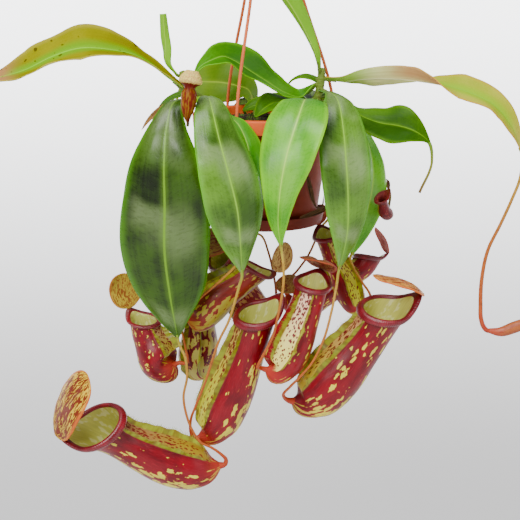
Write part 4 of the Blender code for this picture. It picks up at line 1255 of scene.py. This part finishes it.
def fringe(name, route, big, share, peak, seed, finish):
    bm = bmesh.new()
    count = int(FRINGE_LONG * route.length / HAIR_STEP)
    for side in (WING_AT, 360 - WING_AT):
        for k in range(count):
            s = FRINGE_FROM + FRINGE_LONG * (k + rng.uniform(0, 0.6)) / count
            lift = smooth(*LIFTS, s)
            row = (s, body_radius(s, share) * big, lift, web_height(s))
            edge = wing_place(route, side, 1.0, *row, peak, seed)
            inner = cup_point(route, side, s, row[1], lift, peak)
            out = (edge - inner).normalized()
            _, t, _, sideways = route.frame(s)
            out += t * rng.uniform(-0.25, 0.35) + sideways * rng.uniform(-0.3, 0.3)
            hair(bm, edge - out * 0.3, out.normalized(), rng.uniform(1.8, 3.4), 0.24)
    piece(name.replace("pitcher", "fringe"), bm, [finish], "pitcher")


def fringe_finish():
    f = Finish("wing_fringe", Roughness=0.6)
    tone = f.noise(f.space(), 300.0, 1.0)
    return f.done(f.mix(tone.step(0.4, 0.75), colour(150, 184, 40), colour(160, 110, 40)))


FRINGE = fringe_finish()
print("a hair every", HAIR_STEP, "mm")

# %% All the pitchers
WINE = (100, 8, 24)


def pitcher(name, skin, lip, lining):
    _, _, big, share, peak, _, winged = PITCHERS[name]
    route = CUP_ROUTES[name]
    rows = cup_rows(big, share)
    columns = cup_columns(winged)
    seed = number(name)

    def place(u, v):
        angle, fin = columns[round(u * (len(columns) - 1))]
        s, radius, lift, web = rows[round(v * (len(rows) - 1))]
        return wing_place(route, angle, fin, s, radius, lift, web, peak, seed)

    bm = sheet(len(columns) - 1, len(rows) - 1, place)
    uv = bm.loops.layers.uv.active
    outside = OUTSIDE + 2
    for face in bm.faces:
        level = min(round(loop[uv].uv.y * (len(rows) - 1)) for loop in face.loops)
        face.material_index = 0 if level < outside else 1 if level < outside + LIP else 2
        for loop in face.loops:
            i = round(loop[uv].uv.x * (len(columns) - 1))
            j = round(loop[uv].uv.y * (len(rows) - 1))
            loop[uv].uv = (columns[i][0] / 360, rows[j][0])
    sew(bm)
    piece(name, bm, [skin, lip, lining], "pitcher", name)
    if winged:
        fringe(name, route, big, share, peak, seed, FRINGE)


SKINS = {
    "pitcher_01": (1.3, CRIMSON, CREAM, 1.08, CORAL, (158, 130, 26)),
    "pitcher_02": (4.1, (138, 14, 30), CREAM, 0.8, CORAL, (176, 160, 40)),
    "pitcher_03": (7.7, CRIMSON, CREAM, 1.0),
    "pitcher_04": (9.2, (162, 16, 32), CREAM, 0.7, CORAL, (252, 238, 120)),
    "pitcher_05": (12.4, CRIMSON, CREAM, 1.0, WINE, (200, 176, 50)),
    "pitcher_06": (15.0, (160, 18, 30), CREAM, 0.7),
    "pitcher_07": (18.8, (150, 14, 30), CREAM, 0.6),
    "pitcher_08": (21.5, (140, 36, 20), (190, 170, 50), 1.5),
    "pitcher_09": (24.9, (140, 24, 36), (206, 160, 90), 1.3),
    "pitcher_10": (27.6, (112, 12, 28), (206, 198, 88), 1.3, CORAL, PANEL, 0.0),
    "pitcher_11": (31.0, (116, 4, 18), (170, 60, 50), 0.4),
}
for name, row in SKINS.items():
    lining = RED_LINING if name == "pitcher_11" else LINING
    pitcher(name, pitcher_skin(name + "_skin", *row), LIP_DARK, lining)
print("pitchers blown:", len(SKINS))

# %% [markdown]
# The lid is a small oval leaf that stands over the mouth on the peak of the lip. It is thin,
# orange yellow with maroon freckles, and its edge is warmer. The blade function makes it, with
# round ends and a shallow groove. The smallest pitcher's lid has dried to a brown scrap.

# %% The form of a lid
LID_THICK = 0.9             # thickness of the solid lids, which says where the finer ones start
LID_BACK = 0.10             # the share of its length that a lid reaches back past the mouth


def lid_route(route, big, share, peak, lid):
    """The lid's line from the back of the mouth out over it."""
    angle, _, length = lid[:3]
    yaw = lid[4] if len(lid) > 4 else 0
    _, t, face, _ = route.frame(1.0)
    start = cup_point(route, 180, 1.0, share * big + lip_size(big) * 0.25, 1.0, peak)
    face = Quaternion(t, math.radians(yaw)) @ face
    a = math.radians(angle)
    along = face * math.cos(a) + t * math.sin(a)
    over = t * math.cos(a) - face * math.sin(a)
    start = start + t * 0.4 + (along + t).normalized() * (LID_THICK / 2 + 0.45)
    back = LID_BACK * max(0.0, math.cos(a))
    line = [(-back, 0.0), (0.17, 0.06), (0.45, 0.09), (0.73, 0.06), (1.0, 0.0)]
    points = [start + (along * out + over * up) * length for out, up in line]
    return Route(points, over)


def lid(name, finish):
    _, _, big, share, peak, row, _ = PITCHERS[name]
    line = lid_route(CUP_ROUTES[name], big, share, peak, row)
    half = row[3]
    seed = number(name) + 40

    def place(u, v):
        wide = max(0.5, half * math.sin(math.pi * v))
        v = (1 - math.cos(math.pi * v)) / 2
        return blade_point(line, wide, (row[1],), -0.4, 0.05, 0.0, 1, 2 * u - 1, v, 0.25, seed)

    node = name.replace("pitcher", "lid")
    piece(node, sheet(COLUMNS, 34, place), [finish, finish], "lid", node, thick=BLADE_THICK)


print("the solid lids are", LID_THICK, "mm thick")

# %% The finish of a lid, and all the lids


def lid_finish(name, ground, warm, freckle, many):
    """Ground, edge and freckles, with more of these where many is larger."""
    f = Finish(name, Specular_IOR_Level=0.2)
    u, v, x = f.blade_uv()
    cloud = f.noise(f.space(), 70.0, 2.0)
    along = f.vector(u * 3.2, v * 1.5, 0.0)
    shade = f.mix(cloud.step(0.35, 0.7), colour(*ground), darker(ground, 0.86))
    middle = (x * 0.8 + abs(v * 2.0 - 0.9) * 0.6).step(1.0, 0.2)
    need = 0.62 - 0.045 * many - middle * 0.03 * many
    streaks = (f.noise(along, 5.0, 2.0, 0.6, 0.4) - need).step(0.0, 0.02)
    spots = (f.noise(along, 11.0, 1.0, 0.5, 0.3) - need).step(0.0, 0.02)
    shade = f.mix(streaks.math("MAXIMUM", spots) * 0.95, shade, colour(*freckle))
    rim = (x.math("MAXIMUM", abs(v * 2.0 - 1.0))).step(0.82, 0.97)
    shade = f.mix(rim * 0.85, shade, colour(*warm))
    f.bump(cloud + spots * 0.3, 0.0006, 0.4)
    return f.done(shade, 0.42 + cloud * 0.15)


LID_LOOKS = {
    "striped": lid_finish("lid_striped", (230, 190, 40), (226, 112, 40), (112, 0, 14), 1.8),
    "speckled": lid_finish("lid_speckled", (226, 156, 66), (226, 112, 46), (140, 36, 16), 1.2),
    "yellow": lid_finish("lid_yellow", (178, 152, 38), (186, 116, 38), (130, 66, 20), 0.9),
    "olive": lid_finish("lid_olive", (150, 118, 60), (156, 76, 44), (110, 40, 30), 1.0),
    "tan": lid_finish("lid_tan", (226, 186, 108), (200, 130, 76), (150, 80, 44), 0.7),
    "brown": lid_finish("lid_brown", (186, 124, 70), (190, 80, 50), (140, 40, 34), 1.1),
    "red": lid_finish("lid_red", (216, 106, 78), (214, 80, 62), (164, 40, 40), 0.9),
}
LIDS = {"pitcher_01": "striped", "pitcher_02": "yellow", "pitcher_03": "olive",
        "pitcher_04": "brown", "pitcher_05": "speckled", "pitcher_06": "red",
        "pitcher_07": "red", "pitcher_08": "tan", "pitcher_09": "olive"}
for name, look in LIDS.items():
    lid(name, LID_LOOKS[look])
small_lid = new_mesh()
small_blade(small_lid, [(101, -3, -66), (102, -2, -61), (101, -2, -56), (98, -3, -54)], (-1, -0.6, 0.2),
            2.2, 0.8, 2.0, 8, 14, True)
piece("small_lid", small_lid, [DRIED], "lid")
print("lids set:", len(LIDS))

# %% [markdown]
# Two pitchers are still closed. The one over the left stem has a pale, felted lid on a red brown
# body with stripes, and the one at the end of the long tendril is a smooth orange brown bud.

# %% Closed young pitchers
FELT_FROM = 0.72            # the share of its length where the striped one's lid starts


def bud(name, finish, felt=0.0):
    """A tube that swells as the table of buds says, with a lumpy lid where it is felted."""
    _, _, big, body = BUDS[name]
    places, shares = zip(*body)

    def radius(s, u):
        r = smooth(places, shares, s) * big
        if felt and s > FELT_FROM:
            a = 2 * math.pi * u
            r += felt * noise.noise(Vector((math.cos(a) * 5, math.sin(a) * 5, s * 40)))
        return r

    piece(name, tube(CUP_ROUTES[name], radius, 40, 60), [finish], "pitcher", name)


def young_finish():
    f = Finish("young_pitcher_skin", Specular_IOR_Level=0.15)
    _, v, cos, sin = f.around_uv()
    stripes = f.noise(f.vector(cos, sin, v * 1.4), 5.0, 2.0)
    fluff = f.noise(f.space(), 900.0, 3.0)
    body = f.mix(stripes.step(0.42, 0.60), colour(110, 24, 4), colour(140, 96, 14))
    body = f.mix(v.step(0.58, 0.68) * 0.9, body, colour(104, 4, 8))
    felted = f.mix(fluff.step(0.35, 0.75), colour(246, 226, 120), colour(236, 170, 110))
    top = (v + (stripes - 0.5) * 0.04).step(0.725, 0.745)
    f.bump(fluff * top + stripes * 0.4, 0.0015, 0.8)
    return f.done(f.mix(top, body, felted), 0.42 + top * 0.4)


def long_bud_finish():
    f = Finish("bud_salmon_skin")
    u, v = f.uv()
    streak = f.noise(f.vector(u * 5.0, v * 3.0, 0.0), 2.0, 3.0)
    shade = f.mix(streak.step(0.35, 0.7), colour(176, 92, 38), colour(146, 58, 20))
    shade = f.mix(v.step(0.45, 0.05) * 0.6, shade, colour(186, 44, 18))
    f.bump(streak, 0.0006, 0.5)
    return f.done(f.mix(v.step(0.7, 1.0) * 0.5, shade, colour(208, 150, 80)), 0.4 + streak * 0.2)


bud("pitcher_12", young_finish(), felt=1.1)
bud("pitcher_13", long_bud_finish())
print("buds:", len(BUDS))

# %% [markdown]
# The pot, its saucer and its hanger are thin moulded plastic. Turned parts are spun from their
# profile in many small steps, with the corners rounded by extra points, so that the rim catches
# a clean line of light.

# %% Turning a profile
POT_R = 60.0
POT_BASE_R = 41.5
POT_BASE_Z = -88.0


def turned(profile, steps):
    """A profile of (radius, height) spun once round."""
    bm = new_mesh()
    verts = [bm.verts.new(to_world((r, 0, z))) for r, z in profile]
    edges = [bm.edges.new(pair) for pair in zip(verts, verts[1:])]
    bmesh.ops.spin(bm, geom=verts + edges, cent=(0, 0, 0), axis=(0, 0, 1), dvec=(0, 0, 0),
                   angle=2 * math.pi, steps=steps, use_merge=True)
    sew(bm)
    return bm


def rounded(profile, radius):
    """The profile with each inner corner cut back and rounded by a third point."""
    points = [Vector(p) for p in profile]
    out = [points[0]]
    for before, here, after in zip(points, points[1:], points[2:]):
        a = before - here
        b = after - here
        cut = min(radius, a.length * 0.4, b.length * 0.4)
        first = here + a.normalized() * cut
        last = here + b.normalized() * cut
        out += [first, (first + last + here * 2) / 4, last]
    return out + [points[-1]]


def pot_inner(z):
    """The radius of the pot's inside at a height."""
    low = POT_BASE_R - 1.5
    return low + (POT_R - 8.0 - low) * (z - POT_BASE_Z) / -POT_BASE_Z


print("inside of the pot at the rim:", pot_inner(0.0), "mm")

# %% The plastics
SKIRT = 11.0                # height of the pot's turned-down rim


def plastic_finish(name, base, worn, grime, rim=None):
    f = Finish(name, Specular_IOR_Level=0.2)
    cloud = f.noise(f.space(), 30.0, 4.0)
    stain = f.noise(f.space(), 75.0, 5.0, 0.7)
    grain = f.noise(f.space(), 2600.0, 1.0)
    rubbed = f.node("NewGeometry", output="Pointiness").step(0.52, 0.60)
    shade = f.mix(cloud.step(0.3, 0.8), colour(*base), darker(base, 0.86))
    if rim:
        # Painted light: the skirt of the rim is a brighter orange than the wall below it, where the light
        # falls on it.
        edge = to_world((0, 0, -SKIRT)).z
        height = f.node("SeparateXYZ", inputs={0: f.space()}).other("Z")
        high = height.step(edge - 0.001, edge - 0.0002)
        shade = f.mix(high, shade, colour(*rim))
    shade = f.mix(rubbed * 0.4, shade, colour(*worn))
    shade = f.mix(stain.step(0.56, 0.72) * 0.4, shade, colour(*grime))
    f.bump(grain + stain * 0.6, 0.0002, 0.4)
    return f.done(shade, 0.36 + stain * 0.22 + cloud * 0.08)


# The pot's darker base colour is painted shade on its wall, and its rim colour is painted light.
TERRACOTTA = plastic_finish("terracotta_plastic", (138, 44, 10), (236, 140, 74), (84, 34, 16),
                            (226, 96, 40))
SAUCER_BROWN = plastic_finish("saucer_plastic", (116, 36, 20), (160, 78, 56), (84, 44, 30))
ROD_ORANGE = plastic_finish("hanger_plastic", (222, 106, 56), (236, 160, 116), (176, 84, 50))
print("plastics:", ", ".join(m.name for m in (TERRACOTTA, SAUCER_BROWN, ROD_ORANGE)))

# %% Pot and saucer
FLANGE = 2.0                # thickness of the rim's flat top
SAUCER_R = 48.4
ROUND_STEPS = 128


def pot_mesh():
    floor_z = POT_BASE_Z + 2.0
    profile = [(0, floor_z), (pot_inner(floor_z) - 2, floor_z), (pot_inner(floor_z + 2), floor_z + 2),
               (pot_inner(-0.8), -0.8), (pot_inner(0) + 1.0, 0), (POT_R - 0.8, 0), (POT_R, -0.8),
               (POT_R - 0.6, -SKIRT), (POT_R - 2.0, -SKIRT), (POT_R - 1.4, -FLANGE),
               (pot_inner(-FLANGE) + 1.5, -FLANGE), (pot_inner(POT_BASE_Z + 3) + 1.5, POT_BASE_Z + 3),
               (POT_BASE_R - 2.0, POT_BASE_Z), (0, POT_BASE_Z)]
    return turned(rounded(profile, 0.7), ROUND_STEPS)


def saucer_mesh():
    top = POT_BASE_Z - 0.3
    profile = [(0, top), (43.0, top), (SAUCER_R - 1.6, POT_BASE_Z + 8.0), (SAUCER_R, POT_BASE_Z + 8.0),
               (SAUCER_R - 2.4, top - 1.0), (SAUCER_R - 3.6, top - 1.5), (0, top - 1.5)]
    return turned(rounded(profile, 0.6), ROUND_STEPS)


piece("pot", pot_mesh(), [TERRACOTTA], "terracotta_plastic", "pot")
piece("saucer", saucer_mesh(), [SAUCER_BROWN], "saucer_plastic", "saucer")
print("pot and saucer spun in", ROUND_STEPS, "steps")

# %% Hanger
ROD_R = 1.3
ROD_RING = 56.0             # the rods stand this far from the middle
ROD_ANGLES = (5.6, 125.6, 245.6)
HUB_Z = 190.0
HOOK_R = 2.2                # radius of the hook's wire
HOOK_INNER = 8.0            # inner radius of the hook's curve


def hanger_mesh():
    bm = turned(rounded([(0, HUB_Z + 8), (3.2, HUB_Z + 7), (6.5, HUB_Z + 2), (6.5, HUB_Z - 3),
                         (0, HUB_Z - 3)], 0.8), 40)
    for angle in ROD_ANGLES:
        a = math.radians(angle)
        out = Vector((math.cos(a), math.sin(a), 0))
        foot = out * ROD_RING
        path = [foot + Vector((0, 0, -5.0)), foot + Vector((0, 0, 2.0)), foot * 0.99 + Vector((0, 0, 6.0)),
                foot * 0.5 + Vector((0, 0, HUB_Z * 0.505)), out * 4.0 + Vector((0, 0, HUB_Z - 1.0))]
        route = Route(path, (0, 1, 0.2))
        # The rod curves gently from its foot in the rim up to the hub, as the solid's does.
        join(bm, tube(route, lambda s, u: ROD_R, 14, 120))
        join(bm, turned_button(foot))
    join(bm, hook_mesh())
    return bm


def turned_button(foot):
    """The small button under the rim that holds a rod."""
    bm = turned(rounded([(0, -3.6), (2.2, -3.6), (1.7, -5.6), (0, -5.6)], 0.3), 16)
    bmesh.ops.translate(bm, verts=bm.verts[:], vec=(foot.x * 0.001, foot.y * 0.001, 0))
    return bm


def hook_mesh():
    c = RIM_DROP - HOOK_INNER
    r = HOOK_INNER + HOOK_R
    path = [(0, 0, HUB_Z + 4), (0, 0, HUB_Z + 12), (r * 0.72, 0, c - r * 0.72), (r, 0, c),
            (r * 0.7, 0, c + r * 0.7), (0, 0, c + r), (-r * 0.7, 0, c + r * 0.7), (-r, 0, c),
            (-r * 0.9, 0, c - r * 0.5)]
    return tube(Route(path, (0, 1, 0)), lambda s, u: HOOK_R, 16, 70)


piece("hanger", hanger_mesh(), [ROD_ORANGE], "hanger_plastic", "hanger")
print("rods:", len(ROD_ANGLES))

# %% [markdown]
# The soil is a coarse mix of bark, moss and roots. Its surface is a spun disc, and what the eye
# sees are the bits that lie on it: bark chips of a few plain faces, tufts of moss and a few tiny
# weeds. They lie still, so they are meshes and not particles. A dried leaf leans against the pot's
# wall, with its scraps on the saucer.

# %% The soil
SOIL_R = 50.2
SOIL_EDGE = -9.5            # height of the soil at the pot's wall


def soil_height(x, y):
    r = math.hypot(x, y)
    level = smooth((0.0, 15.0, 28.0, 40.0, 51.0), (-6.5, -5.5, -7.5, -7.0, SOIL_EDGE), r)
    bumps = noise.noise(Vector((x * 0.16, y * 0.16, 4.0))) * 1.4
    fine = noise.noise(Vector((x * 0.6, y * 0.6, 9.0))) * 0.5
    return level + (bumps + fine) * ease(50.0, 44.0, r)


def soil_finish():
    f = Finish("bark_soil")
    crumbs = f.noise(f.space(), 420.0, 5.0, 0.7)
    damp = f.noise(f.space(), 60.0, 2.0)
    green = f.noise(f.space(), 110.0, 3.0).step(0.55, 0.66)
    shade = f.mix(crumbs.step(0.35, 0.7), colour(10, 8, 4), colour(40, 30, 18))
    shade = f.mix(green * 0.7, shade, colour(34, 56, 8))
    f.bump(crumbs, 0.002, 1.0)
    return f.done(shade, 0.95 - damp * 0.25)


def soil_mesh():
    floor_z = POT_BASE_Z + 2.35
    profile = [(0, floor_z), (pot_inner(floor_z) - 3.5, floor_z),
               (pot_inner(floor_z + 3) - 0.5, floor_z + 3), (pot_inner(SOIL_EDGE) - 0.5, SOIL_EDGE)]
    profile += [(SOIL_R - SOIL_R * k / 34, SOIL_EDGE + 0.5) for k in range(35)]
    bm = turned(profile, 110)
    for v in bm.verts:
        x, y = v.co.x * 1000, v.co.y * 1000
        if v.co.z * 1000 + RIM_DROP > SOIL_EDGE + 0.2:
            v.co.z = (soil_height(x, y) - RIM_DROP) * 0.001
    return bm


piece("soil", soil_mesh(), [soil_finish()], "bark_soil", "soil")
print("soil in the middle:", round(soil_height(0.0, 0.0), 1), "mm")

# %% Bark chips


def on_soil(r):
    """A random place at a distance from the pot's middle."""
    a = rng.uniform(0, 2 * math.pi)
    return r * math.cos(a), r * math.sin(a)


def clear_of_stems(x, y, room):
    return all(math.hypot(x - p[2][0], y - p[2][1]) > STEM_R + room for p in STEMS.values())


def bark_chips(count):
    bm = bmesh.new()
    for _ in range(count):
        x, y = on_soil(49.0 * math.sqrt(rng.random()))
        if not clear_of_stems(x, y, 2.5):
            continue
        size = rng.uniform(1.2, 3.4)
        flat = Matrix.Diagonal((size * rng.uniform(0.8, 1.6) * 1e-3, size * 1e-3, size * 0.5e-3, 1.0))
        tilt = Matrix.Rotation(rng.uniform(-0.5, 0.5), 4, "X") @ Matrix.Rotation(rng.uniform(0, 6.3), 4, "Z")
        place = Matrix.Translation(to_world((x, y, soil_height(x, y) + size * 0.15)))
        made = bmesh.ops.create_icosphere(bm, subdivisions=1, radius=1.0, matrix=place @ tilt @ flat)
        for v in made["verts"]:
            v.co += Vector((rng.uniform(-1, 1), rng.uniform(-1, 1), rng.uniform(-1, 1))) * size * 0.16e-3
    return bm


def chip_finish():
    f = Finish("bark_chip")
    tone = f.noise(f.space(), 260.0, 4.0, 0.7)
    patch = f.noise(f.space(), 90.0, 1.0)
    shade = f.mix(patch.step(0.4, 0.6), colour(28, 18, 10), colour(70, 46, 26))
    shade = f.mix(tone.step(0.5, 0.75) * 0.5, shade, colour(104, 76, 46))
    f.bump(tone, 0.001, 0.9)
    return f.done(shade, 0.75 + tone * 0.2)


CHIPS = bark_chips(420)
print("faces of the chips:", len(CHIPS.faces))
piece("bark_chips", CHIPS, [chip_finish()], "bark_soil")

# %% Moss and weeds


def moss(tufts):
    bm = bmesh.new()
    for _ in range(tufts):
        x, y = on_soil(rng.uniform(8.0, 48.5))
        if clear_of_stems(x, y, 3.0):
            for _ in range(16):
                px, py = x + rng.gauss(0, 1.6), y + rng.gauss(0, 1.6)
                lean = Vector((rng.uniform(-0.6, 0.6), rng.uniform(-0.6, 0.6), 1.0)).normalized()
                hair(bm, (px, py, soil_height(px, py)), lean, rng.uniform(1.5, 3.2), 0.3)
    return bm


def weeds(count):
    bm = new_mesh()
    for k in range(count):
        a = rng.uniform(0, 2 * math.pi)
        x, y = 40 * math.cos(a), 40 * math.sin(a)
        z = soil_height(x, y)
        if clear_of_stems(x, y, 4.0):
            for turn in (0.0, 2.1, 4.2):
                dx, dy = math.cos(a + turn), math.sin(a + turn)
                points = [(x, y, z), (x + dx * 1.5, y + dy * 1.5, z + 2.5),
                          (x + dx * 4, y + dy * 4, z + 3.5)]
                small_blade(bm, points, (0, 0, 1), 1.3, 0.3, k, 4, 6, True)
    return bm


def moss_finish():
    f = Finish("moss_green", Roughness=0.8)
    tone = f.noise(f.space(), 200.0, 2.0)
    return f.done(f.mix(tone.step(0.35, 0.7), colour(44, 78, 10), colour(108, 140, 34)))


piece("moss", moss(70), [moss_finish()], "bark_soil")
piece("weeds", weeds(9), [LEAF_TOPS["mid"]], "leaf")
print("moss and weeds planted")

# %% Dried leaves by the pot
DRIED_LEAVES = [
    ([(32, -45, -45), (34, -43, -55), (37, -41, -66), (40, -38, -72)],
     (0.5, -0.8, 0), 2.6, 1.1, 3.0, 8, 18),
    ([(40, -38, -71), (43, -33, -73), (45, -29, -70), (46, -27, -64)],
     (0.6, -0.8, 0), 1.9, 1.1, 5.0, 8, 14),
    ([(27, -45, -79), (36, -42, -77), (44, -36, -75), (51, -29, -70)],
     (0.2, -0.5, 0.8), 3.0, 0.9, 7.0, 8, 18),
]


def dried_leaves():
    """A brown leaf against the pot's wall, and scraps of one on the saucer's edge."""
    bm = new_mesh()
    for row in DRIED_LEAVES:
        small_blade(bm, *row)
    return bm


piece("dried_leaves", dried_leaves(), [DRIED], "leaf")
print("dried leaves:", len(DRIED_LEAVES))

# %% [markdown]
